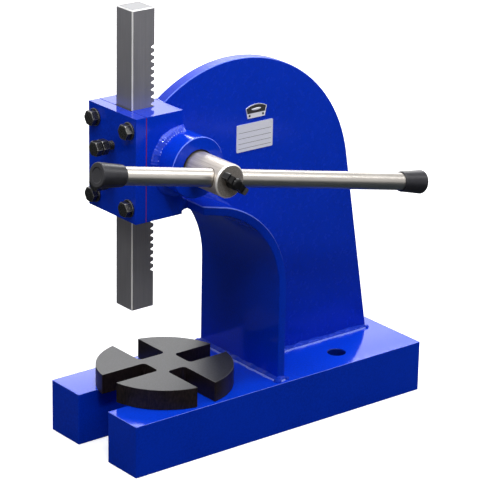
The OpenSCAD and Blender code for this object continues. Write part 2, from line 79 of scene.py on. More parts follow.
# Places that several sub-assemblies share.
BASE_TOP = 62.0
WEB_HALF = 7.5
SHAFT_Y = -123.7
SHAFT_Z = 344.0
LEVER_X = 117.0
LEVER_TILT = 12.0
BOSS_FACE_X = 76.0


class Body(Enum):
    """The bodies that pieces ride on."""

    FRAME = "frame"
    PINION = "pinion"
    LEVER = "lever"
    PAD = "clamp_pad"
    WING = "wing_screw"
    RAM = "ram"
    TABLE = "table"


class Slot(Enum):
    """The record's material slots."""

    PAINT = "blue_paint"
    OXIDE = "black_oxide"
    GROUND = "ground_steel"
    BRIGHT = "bright_steel"
    RUBBER = "rubber"
    FIBRE = "fibre"
    SILVER = "plate_silver"
    KNOB = "knob_plastic"


class Cut(Enum):
    """What a bevel cuts."""

    EDGES = "EDGES"
    POINTS = "VERTICES"


def mm(x: float, y: float, z: float) -> Vector:
    """A point or direction given in millimetres, as metres."""
    return Vector((x, y, z)) * MM


def in_metres(span: Span) -> Span:
    """A span given in millimetres, as metres."""
    return span[0] * MM, span[1] * MM


def in_web(angle: float) -> Vector:
    """A direction in the web's plane, at an angle in degrees from the back upwards."""
    turn = math.radians(angle)
    return Vector((0.0, math.cos(turn), math.sin(turn)))


def from_shaft(point: Vector) -> float:
    """How far a point lies from the shaft's axis, in millimetres."""
    return math.hypot(point.y / MM - SHAFT_Y, point.z / MM - SHAFT_Z)


class Nodes:
    """A node tree, with short calls for the nodes that looks share."""

    def __init__(self, tree: bpy.types.NodeTree) -> None:
        """Takes over a tree, emptied."""
        self.tree = tree
        self.tree.nodes.clear()

    def feed(self, target: Socket, value: object) -> None:
        """Sets an input, or links it.

        Args:
            target: The input.
            value: A number, a colour, a vector, or an output socket.
        """
        if isinstance(value, Socket):
            self.tree.links.new(value, target)
        elif target.type == "RGBA":
            target.default_value = (*value, 1.0)
        else:
            target.default_value = value

    def node(self, kind: str, inputs: Mapping[str, object]) -> bpy.types.Node:
        """Adds a node and feeds its inputs.

        Args:
            kind: The node's type, without its prefix.
            inputs: What each named input takes.

        Returns:
            The node.
        """
        made = self.tree.nodes.new(f"ShaderNode{kind}")
        for name, value in inputs.items():
            self.feed(made.inputs[name], value)
        return made

    def ramp(self, value: Socket, span: Span, low: float, high: float) -> Socket:
        """Spreads a span of a value over a range of numbers.

        Args:
            value: The value's socket.
            span: Where the value's span starts and ends.
            low: The number at its start.
            high: The number at its end.

        Returns:
            The spread value's socket.
        """
        ends = {"From Min": span[0], "From Max": span[1], "To Min": low, "To Max": high}
        return self.node("MapRange", {"Value": value, **ends}).outputs["Result"]

    def math(self, operation: str, *values: Socket) -> Socket:
        """Works out a value from one or two others.

        Args:
            operation: The operation's name.
            values: The sockets that it takes.

        Returns:
            The result's socket.
        """
        node = self.node("Math", {})
        node.operation = operation
        for value, target in zip(values, node.inputs):
            self.feed(target, value)
        return node.outputs["Value"]

    def most(self, *values: Socket) -> Socket:
        """The largest of some values.

        Args:
            values: Their sockets.

        Returns:
            The largest value's socket.
        """
        largest, *others = values
        for value in others:
            largest = self.math("MAXIMUM", largest, value)
        return largest


class Shader(Nodes):
    """A material's nodes: a Principled surface on the piece's own coordinates."""

    noise_span: Span = (0.3, 0.7)

    def __init__(self, name: str) -> None:
        """Starts a material.

        Args:
            name: The material's name.
        """
        self.material = bpy.data.materials.new(name)
        self.material.use_nodes = True
        super().__init__(self.material.node_tree)
        self.surface = self.node("BsdfPrincipled", {})
        self.node("OutputMaterial", {"Surface": self.surface.outputs["BSDF"]})
        self.place = self.node("TexCoord", {}).outputs["Object"]

    def put(self, inputs: Mapping[str, object]) -> None:
        """Feeds the named inputs of the surface."""
        for name, value in inputs.items():
            self.feed(self.surface.inputs[name], value)

    def framed(self, turn: Colour, scale: Colour = EVEN, middle: Colour = UNTURNED) -> Socket:
        """The piece's coordinates in a frame of a pattern's own.

        Args:
            turn: The frame's turn, in degrees.
            scale: Its scale.
            middle: Its middle, in millimetres.

        Returns:
            The coordinates' socket.
        """
        angles = tuple(map(math.radians, turn))
        places = {"Location": mm(*middle), "Rotation": angles, "Scale": scale}
        mapping = self.node("Mapping", {"Vector": self.place, **places})
        mapping.vector_type = "TEXTURE"
        return mapping.outputs["Vector"]

    def axes(self, place: Socket) -> tuple[Socket, ...]:
        """The X, Y and Z of some coordinates."""
        return tuple(self.node("SeparateXYZ", {"Vector": place}).outputs)

    def noise(
        self,
        size: float,
        stretch: Colour = EVEN,
        turn: Colour = UNTURNED,
        detail: float = 3.0,
        rough: float = 0.55,
    ) -> Socket:
        """Noise on the piece's own coordinates.

        Args:
            size: The size of a grain.
            stretch: How much longer the grains are along each axis.
            turn: The turn of the coordinates, in degrees.
            detail: How many finer layers are added.
            rough: How strong the finer layers are.

        Returns:
            The noise's value socket.
        """
        place = self.framed(turn, tuple(size * MM * s for s in stretch))
        layers = {"Scale": 1.0, "Detail": detail, "Roughness": rough}
        return self.node("TexNoise", {"Vector": place, **layers}).outputs["Fac"]

    def span(self, value: Socket, low: float, high: float) -> Socket:
        """Spreads a noise value over a range of numbers."""
        return self.ramp(value, self.noise_span, low, high)

    def blend(self, value: Socket, low: object, high: object) -> Socket:
        """Blends two colours by a value.

        Args:
            value: The socket that steers the blend.
            low: The colour at 0, or its socket.
            high: The colour at 1, or its socket.

        Returns:
            The blended colour's socket.
        """
        node = self.node("Mix", {"Factor": value})
        node.data_type = "RGBA"
        for socket, colour in (("A", low), ("B", high)):
            target = next(i for i in node.inputs if i.name == socket and i.type == "RGBA")
            self.feed(target, colour)
        return next(o for o in node.outputs if o.type == "RGBA")

    def bump(self, height: Socket, depth: float, under: Socket | None = None) -> Socket:
        """Turns a height into a normal.

        Args:
            height: The socket with the height, from 0 to 1.
            depth: What a height of 1 stands for.
            under: A normal that this one adds to.

        Returns:
            The normal's socket.
        """
        node = self.node("Bump", {"Height": height, "Distance": depth * MM, "Strength": 1.0})
        if under is not None:
            self.feed(node.inputs["Normal"], under)
        return node.outputs["Normal"]


@dataclass(frozen=True)
class Finish:
    """A finish that makes its material once."""

    name: str

    def material(self) -> bpy.types.Material:
        """Makes the finish's material at the first call.

        Returns:
            The material.
        """
        found = bpy.data.materials.get(self.name)
        if found is None:
            shader = Shader(self.name)
            self.dress(shader)
            found = shader.material
        return found

    def dress(self, shader: Shader) -> None:
        """Adds the finish's nodes to a material."""
        raise NotImplementedError


@dataclass(frozen=True)
class Enamel(Finish):
    """Stoved enamel: deep, glossy, with a fine orange peel and faint speckle.

    A slab that falls away towards its long edges has a crown, which starts at a distance
    from its middle line and is flatter at the slab's nose. An upright plate can carry
    painted shade, its colour darkening towards its foot.
    """

    light: Colour = (0.0011, 0.039, 0.64)
    dark: Colour = (0.0008, 0.028, 0.46)
    tint: Colour = (0.18, 0.25, 1.0)
    index: float = 1.62
    gloss: Span = (0.07, 0.15)
    gloss_size: float = 9.0
    speckle: Span = (0.0, 0.9)
    speckle_size: float = 2.2
    cloud: Span = (0.0, 0.5)
    cloud_size: float = 70.0
    peel: float = 1.6
    peel_depth: float = 0.012
    crown_drop: float = 0.0
    crown: Span = (30.0, 82.0)
    nose: Span = (-210.0, -110.0)
    nose_share: float = 0.55
    # Heights over which the painted shade at a plate's foot fades out.
    foot: Span = (62.0, 250.0)
    foot_shade_share: float = 1.0
    foot_shade_tone: Colour = (0.0005, 0.012, 0.22)

    def falling(self, shader: Shader) -> Socket:
        """The normal of a slab that falls away towards its long edges.

        Args:
            shader: The material to fill.

        Returns:
            The normal's socket.
        """
        x, y, _ = shader.axes(shader.place)
        share = shader.ramp(shader.math("ABSOLUTE", x), in_metres(self.crown), 0.0, 1.0)
        ease = shader.ramp(y, in_metres(self.nose), self.nose_share, 1.0)
        fall = shader.math("MULTIPLY", shader.math("MULTIPLY", share, share), ease)
        return shader.bump(shader.ramp(fall, UNIT, 1.0, 0.0), self.crown_drop)

    def tone(self, shader: Shader) -> Socket:
        """The enamel's colour: speckle over slow clouds, with painted shade towards a foot.

        Args:
            shader: The material to fill.

        Returns:
            The colour's socket.
        """
        speckle = shader.span(shader.noise(self.speckle_size, detail=2.0), *self.speckle)
        clouds = shader.span(shader.noise(self.cloud_size, detail=2.0), *self.cloud)
        tone = shader.blend(speckle, shader.blend(clouds, self.dark, self.light), self.light)
        # Painted shade: the colour darkens towards the plate's foot.
        if self.foot_shade_share < 1.0:
            height = shader.axes(shader.place)[2]
            share = shader.ramp(height, in_metres(self.foot), self.foot_shade_share, 1.0)
            tone = shader.blend(share, self.foot_shade_tone, tone)
        return tone

    def dress(self, shader: Shader) -> None:
        """Adds the enamel's tone, peel and gloss.

        Args:
            shader: The material to fill.
        """
        under = self.falling(shader) if self.crown_drop else None
        shader.put({
            "Base Color": self.tone(shader),
            "Roughness": shader.span(shader.noise(self.gloss_size), *self.gloss),
            "IOR": self.index,
            "Specular Tint": self.tint,
            "Normal": shader.bump(shader.noise(self.peel, detail=1.0), self.peel_depth, under),
        })


@dataclass(frozen=True)
class Oxide(Finish):
    """Blackened steel with pale flecks and a satin sheen."""

    colour: Colour = (0.012, 0.011, 0.012)
    fleck: Colour = (0.06, 0.058, 0.06)
    fleck_share: Span = (-0.3, 0.8)
    fleck_size: float = 0.9
    stretch: Colour = EVEN
    depth: float = 0.02
    gloss: Span = (0.26, 0.44)
    metal: float = 0.0
    index: float = 1.7

    def dress(self, shader: Shader) -> None:
        """Adds the blackening's flecks and worn gloss.

        Args:
            shader: The material to fill.
        """
        fleck = shader.noise(self.fleck_size, self.stretch, detail=4.0, rough=0.7)
        share = shader.span(fleck, *self.fleck_share)
        shader.put({
            "Base Color": shader.blend(share, self.colour, self.fleck),
            "Roughness": shader.span(fleck, *self.gloss),
            "Metallic": self.metal,
            "IOR": self.index,
            "Normal": shader.bump(fleck, self.depth),
        })


@dataclass(frozen=True)
class Lined(Finish):
    """Bare steel with fine lines in one direction, as grinding or drawing leaves them."""

    light: Colour = (0.6, 0.58, 0.55)
    dark: Colour = (0.45, 0.43, 0.41)
    stretch: Colour = (1.0, 90.0, 1.0)
    turn: Colour = UNTURNED
    line: float = 0.35
    cloud: Span = (0.0, 0.3)
    cloud_size: float = 22.0
    gloss: Span = (0.2, 0.34)
    depth: float = 0.004
    metal: float = 1.0

    def tone(self, shader: Shader, lines: Socket) -> Socket:
        """The steel's colour: its lines under slow clouds.

        Args:
            shader: The material to fill.
            lines: The lines' noise.

        Returns:
            The colour's socket.
        """
        cloud = shader.span(shader.noise(self.cloud_size), *self.cloud)
        lined = shader.blend(shader.span(lines, *UNIT), self.dark, self.light)
        return shader.blend(cloud, lined, self.dark)

    def dress(self, shader: Shader) -> None:
        """Adds the lines to colour, gloss and surface.

        Args:
            shader: The material to fill.
        """
        lines = shader.noise(self.line, self.stretch, self.turn, detail=4.0, rough=0.65)
        shader.put({
            "Base Color": self.tone(shader, lines),
            "Roughness": shader.span(lines, *self.gloss),
            "Metallic": self.metal,
            "Normal": shader.bump(lines, self.depth),
        })


@dataclass(frozen=True)
class JointShadedSteel(Lined):
    """Lined steel with a line of painted shade round a cross hole, and painted shade beside a bearing.
    """

    hole: Colour = (LEVER_X, SHAFT_Y, SHAFT_Z)
    hole_r: float = 10.05
    line_w: float = 1.1
    shade_width: float = 5.0
    shade_strength: float = 0.8
    shade_colour: Colour = (0.05, 0.036, 0.026)

    def tone(self, shader: Shader, lines: Socket) -> Socket:
        """The steel's colour under the painted shade round the hole and beside the bearing.

        Args:
            shader: The material to fill.
            lines: The lines' noise.

        Returns:
            The colour's socket.
        """
        x, _, z = shader.axes(shader.framed((-LEVER_TILT, 0.0, 0.0), middle=self.hole))
        square = shader.math("ADD", shader.math("MULTIPLY", x, x), shader.math("MULTIPLY", z, z))
        ring = in_metres((self.hole_r, self.hole_r + self.line_w))
        line = shader.ramp(shader.math("SQRT", square), ring, 1.0, 0.0)
        near, wide = BOSS_FACE_X - self.hole[0], self.shade_width
        beside = shader.ramp(x, in_metres((near, near + wide)), self.shade_strength, 0.0)
        outside = shader.ramp(x, in_metres((near - 2.0 * wide, near - wide)), 0.0, 1.0)
        # Painted shade: darker round the hole's edge and on the shaft next to the boss.
        share = shader.most(line, shader.math("MULTIPLY", beside, outside))
        return shader.blend(share, super().tone(shader, lines), self.shade_colour)


@dataclass(frozen=True)
class Moulded(Finish):
    """Moulded rubber or plastic: dull, with a fine mould grain."""

    light: Colour = (0.021, 0.021, 0.027)
    dark: Colour = (0.013, 0.013, 0.017)
    gloss: Span = (0.3, 0.44)
    grain: float = 0.5
    depth: float = 0.02
    scuff: float = 6.0
    index: float = 1.4

    def dress(self, shader: Shader) -> None:
        """Adds the grain and slight scuffs.

        Args:
            shader: The material to fill.
        """
        scuff = shader.noise(self.scuff, detail=4.0, rough=0.7)
        shader.put({
            "Base Color": shader.blend(shader.span(scuff, *UNIT), self.dark, self.light),
            "Roughness": shader.span(scuff, *self.gloss),
            "IOR": self.index,
            "Normal": shader.bump(shader.noise(self.grain), self.depth),
        })


@dataclass(frozen=True)
class Plated(Finish):
    """Satin sheet metal, or the flat ink on it."""

    light: Colour = (0.80, 0.82, 0.90)
    dark: Colour = (0.70, 0.72, 0.80)
    gloss: Span = (0.36, 0.5)
    line: float = 0.4
    stretch: Colour = (1.0, 18.0, 1.0)
    depth: float = 0.004

    def dress(self, shader: Shader) -> None:
        """Adds a soft brushed tone.

        Args:
            shader: The material to fill.
        """
        brushed = shader.noise(self.line, self.stretch)
        shader.put({
            "Base Color": shader.blend(shader.span(brushed, *UNIT), self.dark, self.light),
            "Roughness": shader.span(brushed, *self.gloss),
            "Metallic": 0.0,
            "Normal": shader.bump(brushed, self.depth),
        })


@dataclass(frozen=True)
class Finishes:
    """The press's finishes by name."""

    paint: Finish = Enamel("blue_enamel")
    # Painted highlight: a lighter copy of the paint for roundings that look up.
    paint_highlight: Finish = Enamel("blue_enamel_highlight", (0.17, 0.26, 0.95), (0.10, 0.17, 0.88))
    # Painted shade for the bench holes' walls and top edges.
    paint_hole_shade: Finish = Enamel("blue_enamel_shade", (0.0006, 0.018, 0.26), (0.0005, 0.012, 0.17))
    # The web's enamel carries painted shade towards its foot.
    web: Finish = Enamel("blue_enamel_web", gloss=(0.2, 0.3), foot_shade_share=0.66)
    web_rim: Finish = Enamel("blue_enamel_rim", tint=(0.5, 0.56, 1.0), gloss=(0.42, 0.5))
    # Painted light: a lighter copy of the paint for the slab's faces that look up, with a crown in its
    # bump.
    slab: Finish = Enamel(
        "blue_enamel_slab_lit_top", (0.0005, 0.056, 0.83), (0.0004, 0.04, 0.6),
        tint=(0.35, 0.42, 1.0), crown_drop=2.5,
    )
    boss: Finish = Enamel("blue_enamel_boss", tint=(0.55, 0.62, 1.0), peel=6.0, peel_depth=0.035)
    bead: Finish = Enamel(
        "blue_enamel_bead", (0.002, 0.038, 0.54), (0.001, 0.025, 0.40),
        tint=(0.1, 0.17, 1.0), index=1.42, peel=4.0, peel_depth=0.04,
    )
    # Painted highlight: a pale copy of the paint along the beads' toes.
    bead_toe_highlight: Finish = Enamel("blue_enamel_toe_highlight", (0.31, 0.40, 0.96), (0.15, 0.23, 0.86), peel=4.0)
    plate_top: Finish = Oxide(
        "oxide_turned_top", (0.007, 0.007, 0.009), (0.07, 0.07, 0.082),
        fleck_size=1.7, gloss=(0.34, 0.56), index=1.36,
    )
    plate_side: Finish = Oxide(
        "oxide_turned_side", (0.006, 0.004, 0.0045), (0.027, 0.0175, 0.0165),
        fleck_size=1.8, stretch=(1.0, 1.0, 3.0), gloss=(0.34, 0.5), index=1.3,
    )
    # Painted highlight: a lighter copy of the blackening for the plate's roundings that look up.
    plate_highlight: Finish = Oxide(
        "oxide_edge_highlight", (0.04, 0.039, 0.039), (0.15, 0.147, 0.147), index=1.45
    )
    fastener: Finish = Oxide(
        "oxide_fastener", (0.034, 0.033, 0.032), (0.17, 0.166, 0.162), gloss=(0.22, 0.34), metal=0.85
    )
    # Painted highlight: a lighter copy of the blackening for the fasteners' eased edges.
    fastener_highlight: Finish = Oxide(
        "oxide_fastener_highlight", (0.09, 0.088, 0.086), (0.32, 0.315, 0.31),
        gloss=(0.24, 0.36), metal=0.7,
    )
    rack: Finish = Lined(
        "ground_rack", (0.285, 0.283, 0.302), (0.20, 0.20, 0.22), (1.0, 1.0, 140.0),
        gloss=(0.3, 0.42), metal=0.4,
    )
    rack_end: Finish = Lined(
        "sawn_rack_end", (0.29, 0.29, 0.30), (0.22, 0.22, 0.23), EVEN, gloss=(0.5, 0.62), metal=0.1
    )
    # Painted highlight: a pale copy of the steel for the rack's near chamfers.
    rack_highlight: Finish = Lined(
        "ground_rack_highlight", (0.92, 0.92, 0.92), (0.82, 0.82, 0.82), (1.0, 1.0, 60.0),
        gloss=(0.3, 0.45), metal=0.25,
    )
    bar: Finish = Lined(
        "drawn_bar", (0.61, 0.578, 0.535), (0.455, 0.425, 0.39), (1.0, 120.0, 1.0),
        turn=(-LEVER_TILT, 0.0, 0.0), gloss=(0.26, 0.4),
    )
    # The shaft carries painted shade round the lever's hole and beside the boss.
    shaft: Finish = JointShadedSteel(
        "drawn_shaft", (0.70, 0.648, 0.59), (0.40, 0.36, 0.32), (60.0, 1.0, 1.0),
        line=0.9, gloss=(0.3, 0.46), metal=0.6,
    )
    # Painted highlight: a pale copy of the steel for the chamfer at the shaft's end.
    rim: Finish = Lined(
        "turned_rim_highlight", (0.9, 0.88, 0.85), (0.78, 0.76, 0.73), gloss=(0.3, 0.42), metal=0.5
    )
    face: Finish = Lined("turned_face", (0.42, 0.385, 0.35), (0.28, 0.255, 0.235), EVEN, metal=0.5)
    brass: Finish = Lined("machined_brass", (0.72, 0.55, 0.26), (0.58, 0.43, 0.19), (1.0, 1.0, 40.0))
    rubber: Finish = Moulded("moulded_rubber")
    knob: Finish = Moulded(
        "moulded_knob", (0.009, 0.009, 0.010), (0.005, 0.005, 0.006), gloss=(0.16, 0.26)
    )
    # Painted shade: a near-black tone for roundings at the mouths of bores and holes.
    gap: Finish = Moulded("painted_gap_shade", (0.006, 0.006, 0.008), (0.003, 0.003, 0.004))
    fibre: Finish = Moulded("seam_fibre", (0.30, 0.010, 0.055), (0.20, 0.006, 0.04))
    silver: Finish = Plated("satin_sheet")
    dark_field: Finish = Plated("plate_dark_field", (0.03, 0.03, 0.035), (0.02, 0.02, 0.024))
    ink: Finish = Plated("plate_ink", (0.12, 0.12, 0.13), (0.08, 0.08, 0.09))


FINISH = Finishes()


def node_mesh(node: str) -> BMesh:
    """A merged copy of a solid's mesh, with its flats as single faces and no fins inside.

    Args:
        node: The solid's name.

    Returns:
        A new mesh in the frame of the solids.
    """
    mesh = bmesh.new()
    mesh.from_mesh(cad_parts[node].data)
    bmesh.ops.remove_doubles(mesh, verts=mesh.verts, dist=MERGE * MM)
    bmesh.ops.dissolve_limit(
        mesh, angle_limit=math.radians(FLAT_ANGLE), verts=mesh.verts, edges=mesh.edges
    )
    fins = [f for f in mesh.faces if any(e.is_boundary for e in f.edges)]
    bmesh.ops.delete(mesh, geom=fins, context="FACES")
    return mesh


def bevel(
    mesh: BMesh, geom: Sequence, radius: float, segments: int, cut: Cut = Cut.EDGES, clamp: bool = False
) -> list[BMFace]:
    """Cuts edges or points.

    Args:
        mesh: The mesh to change.
        geom: The edges or points.
        radius: The width of the cut.
        segments: Faces across it.
        cut: Whether edges or points are cut.
        clamp: Whether cuts that would meet are narrowed.

    Returns:
        The faces of the cuts.
    """
    made = bmesh.ops.bevel(
        mesh, geom=geom, offset=radius * MM, offset_type="OFFSET", segments=segments,
        profile=0.5, affect=cut.value, clamp_overlap=clamp, material=-1,
    )
    return made["faces"]


def soften(
    mesh: BMesh,
    radius: float,
    segments: int = 3,
    low: float = 50.0,
    chosen: Callable[[BMEdge], bool] = lambda edge: True,
) -> list[BMFace]:
    """Rounds the outer sharp edges.

    Args:
        mesh: The mesh to change.
        radius: The edge radius.
        segments: Faces across each rounding.
        low: Least angle between the faces of an edge that is rounded, in degrees.
        chosen: Says whether a sharp edge is rounded.

    Returns:
        The faces of the roundings.
    """
    least = math.radians(low)
    outer = [e for e in mesh.edges if e.is_manifold and e.is_convex]
    sharp = [e for e in outer if e.calc_face_angle() > least and chosen(e)]
    faces = bevel(mesh, sharp, radius, segments, clamp=True)
    mesh.normal_update()
    return faces


def lathe(mesh: BMesh, profile: Profile, place: Matrix, steps: int = 64) -> None:
    """Turns a profile round the local Z axis.

    Args:
        mesh: The mesh that takes the turned shape.
        profile: Points of radius and height, from one end to the other.
        place: Where the local frame stands, in metres.
        steps: Faces round the axis.
    """
    points = [mesh.verts.new(place @ mm(r, 0.0, h)) for r, h in profile]
    lines = [mesh.edges.new(pair) for pair in zip(points, points[1:])]
    bmesh.ops.spin(
        mesh, geom=points + lines, cent=place.translation, axis=place.to_3x3() @ Z_AXIS,
        angle=math.tau, steps=steps, use_merge=True,
    )


def along(direction: Vector, place: Vector) -> Matrix:
    """A frame at a place, whose Z axis has a given direction."""
    turn = direction.to_track_quat("Z", "Y")
    return Matrix.Translation(place) @ turn.to_matrix().to_4x4()


def block(mesh: BMesh, low: Vector, high: Vector) -> None:
    """Adds a block between two corners.

    Args:
        mesh: The mesh that takes it.
        low: Its lowest corner, in metres.
        high: Its highest corner, in metres.
    """
    made = bmesh.ops.create_cube(mesh, size=1.0)["verts"]
    bmesh.ops.scale(mesh, vec=high - low, verts=made)
    bmesh.ops.translate(mesh, vec=(high + low) / 2.0, verts=made)


def join(part: BMesh, mesh: BMesh) -> None:
    """Moves a finished part into a larger mesh.

    Args:
        part: The part, which is freed.
        mesh: The mesh that takes it.
    """
    data = bpy.data.meshes.new("part")
    part.to_mesh(data)
    part.free()
    mesh.from_mesh(data)
    bpy.data.meshes.remove(data)


def paint_faces(mesh: BMesh, index: int, chosen: Callable[[BMFace], bool]) -> None:
    """Gives the chosen faces another material.

    Args:
        mesh: The mesh to change.
        index: The material's index on the piece.
        chosen: Says whether a face gets it.
    """
    mesh.normal_update()
    for face in filter(chosen, mesh.faces):
        face.material_index = index


def lever_face(mesh: BMesh) -> BMFace:
    """The largest face that looks to the lever side."""
    return max(mesh.faces, key=lambda f: f.calc_area() * max(0.0, f.normal.x))


@dataclass
class Assembly:
    """A sub-assembly: its body and how its pieces are finished."""

    body: Body

    def add(
        self,
        name: str,
        mesh: BMesh,
        finishes: Sequence[Finish],
        slot: Slot,
        node: str,
        sharp: float = 38.0,
        closed: bool = False,
    ) -> None:
        """Makes a piece of a mesh and puts it on the assembly's body.

        Args:
            name: The piece's name.
            mesh: Its mesh, which is freed.
            finishes: Its materials, in the order of the faces' indices.
            slot: The record's slot that it takes its finish from; not used.
            node: The solid that it stands for.
            sharp: Edges above this angle stay sharp, in degrees.
            closed: Whether doubles are merged and the normals worked out again.
        """
        if closed:
            bmesh.ops.remove_doubles(mesh, verts=mesh.verts, dist=CLOSE * MM)
            bmesh.ops.recalc_face_normals(mesh, faces=mesh.faces)
        for edge in mesh.edges:
            edge.smooth = not edge.is_manifold or edge.calc_face_angle() < math.radians(sharp)
        for face in mesh.faces:
            face.smooth = True
        data = bpy.data.meshes.new(name)
        mesh.to_mesh(data)
        mesh.free()
        piece = bpy.data.objects.new(name, data)
        bpy.context.scene.collection.objects.link(piece)
        for finish in finishes:
            data.materials.append(finish.material())
        weighted = piece.modifiers.new("even_shading", "WEIGHTED_NORMAL")
        weighted.keep_sharp = True
        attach(piece, self.body.value)
        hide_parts(node)
        LOG.info("%s: %d faces on %s", name, len(data.polygons), self.body.value)

    def ease(self, name: str, node: str, radius: float, finish: Finish, slot: Slot) -> None:
        """Makes a piece of a solid with its edges eased.

        Args:
            name: The piece's name.
            node: The solid.
            radius: The edge radius.
            finish: The piece's finish.
            slot: The record's slot that it takes its finish from.
        """
        mesh = node_mesh(node)
        soften(mesh, radius, segments=2)
        self.add(name, mesh, [finish], slot, node)

    def keep(self, node: str, finish: Finish) -> None:
        """Gives a solid that stays in view a better material.

        Args:
            node: The solid's name.
            finish: Its finish.
        """
        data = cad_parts[node].data
        data.materials.clear()
        data.materials.append(finish.material())
        LOG.info("%s: kept, with %s", node, finish.name)


@dataclass
class KeptPart(Assembly):
    """A hidden solid that keeps its own shape."""

    node: str
    finish: Finish

    def build(self) -> None:
        """Dresses the solid."""
        self.keep(self.node, self.finish)


@dataclass
class PaintedFrame(Assembly):
    """The welded plates, the head and the boss: rounded edges, painted highlights and painted shade."""

    body: Body = Body.FRAME
    edges: tuple[tuple[str, float], ...] = (
        ("web_plate", 1.0), ("throat_plate", 1.3), ("rack_housing", 0.6), ("guide_cover", 0.6),
    )
    highlighted_plates: tuple[str, ...] = ("web_plate", "throat_plate")
    highlight_rise: float = 0.2
    slab_edge: float = 2.2
    slab_corner: float = 0.9
    slab_foot: float = 2.4
    slab_rise: Span = (0.3, 0.93)
    hole_x: float = 47.5
    hole_y: float = 108.0
    hole_r: float = 10.25
    hole_edge: float = 1.1
    boss_edge: float = 1.4
    bore_r: float = 19.05
    bore_edge: float = 1.9
    bore_wall: float = 3.0
    reach: float = 0.5
    level: float = 0.05

    def in_hole(self, edge: BMEdge) -> bool:
        """Whether an edge belongs to a bench hole."""
        out = [(abs(v.co.x) / MM - self.hole_x, v.co.y / MM - self.hole_y) for v in edge.verts]
        return all(math.hypot(x, y) < self.hole_r + self.reach for x, y in out)

    def on_top(self, edge: BMEdge) -> bool:
        """Whether an edge lies in the slab's top."""
        return all(v.co.z > (BASE_TOP - self.level) * MM for v in edge.verts)

    def on_bench(self, edge: BMEdge) -> bool:
        """Whether an edge lies in the slab's underside."""
        return all(v.co.z < self.level * MM for v in edge.verts)

    def in_bore(self, edge: BMEdge) -> bool:
        """Whether an edge belongs to the mouth of the boss's bore."""
        mouth = all(v.co.x > (BOSS_FACE_X - self.level) * MM for v in edge.verts)
        return mouth and all(from_shaft(v.co) < self.bore_r + self.reach for v in edge.verts)

    def on_boss(self, edge: BMEdge) -> bool:
        """Whether an edge lies well outside the boss's bore."""
        return all(from_shaft(v.co) > self.bore_r + self.bore_wall for v in edge.verts)

    def highlight_roundings(self, faces: Iterable[BMFace], index: int) -> None:
        """Gives the roundings that look up a painted highlight: a lighter copy of the paint.

        Args:
            faces: The faces of the roundings.
            index: The index of the painted highlight on the piece.
        """
        for face in faces:
            if face.normal.z > self.highlight_rise:
                face.material_index = index

    def slab(self) -> None:
        """Builds the base: broadly rounded round its top, and tighter everywhere else, with painted
        light on its top and roundings and painted shade in its bench holes.
        """
        mesh = node_mesh("base_plate")
        low, high = self.slab_rise
        soften(mesh, self.slab_edge, 4, chosen=lambda e: self.on_top(e) and not self.in_hole(e))
        # Painted highlight on the roundings that look partly up.
        paint_faces(mesh, 1, lambda f: low < f.normal.z < high)
        # Painted light: the top faces take the lighter copy of the paint.
        paint_faces(mesh, 3, lambda f: f.normal.z > high)
        # Painted shade: the bench holes' walls and their top roundings take the dark paint.
        paint_faces(mesh, 2, lambda f: all(map(self.in_hole, f.edges)))
        for face in soften(mesh, self.hole_edge, chosen=lambda e: self.on_top(e) and self.in_hole(e)):
            face.material_index = 2
        soften(mesh, self.slab_foot, chosen=self.on_bench)
        soften(mesh, self.slab_corner, chosen=lambda e: not self.on_top(e))
        finishes = [FINISH.paint, FINISH.paint_highlight, FINISH.paint_hole_shade, FINISH.slab]
        self.add("painted_base_plate", mesh, finishes, Slot.PAINT, "base_plate")

    def boss(self) -> None:
        """Builds the boss: painted shade where its bore opens, painted highlights on upward roundings.
        """
        mesh = node_mesh("pinion_boss")
        # Painted shade on the rounding at the bore's mouth.
        for face in soften(mesh, self.bore_edge, 2, chosen=self.in_bore):
            face.material_index = 1
        # Painted highlight on the boss's roundings that look up.
        self.highlight_roundings(soften(mesh, self.boss_edge, 4, chosen=self.on_boss), 2)
        paint_faces(mesh, 3, lambda f: f.material_index == 0 and abs(f.normal.x) < LEANING)
        finishes = [FINISH.paint, FINISH.gap, FINISH.paint_highlight, FINISH.boss]
        self.add("painted_pinion_boss", mesh, finishes, Slot.PAINT, "pinion_boss")

    def build(self) -> None:
        """Builds every painted plate."""
        for node, radius in self.edges:
            mesh = node_mesh(node)
            made = soften(mesh, radius)
            finishes = [FINISH.paint, FINISH.paint_highlight]
            # Painted highlight on the roundings that look up, on the web and the throat plate.
            if node in self.highlighted_plates:
                self.highlight_roundings(made, 1)
            if node == "web_plate":
                paint_faces(mesh, 2, lambda f: f.material_index == 0 and abs(f.normal.x) < LEANING)
                finishes = [FINISH.web, FINISH.paint_highlight, FINISH.web_rim]
            self.add(f"painted_{node}", mesh, finishes, Slot.PAINT, node)
        self.slab()
        self.boss()


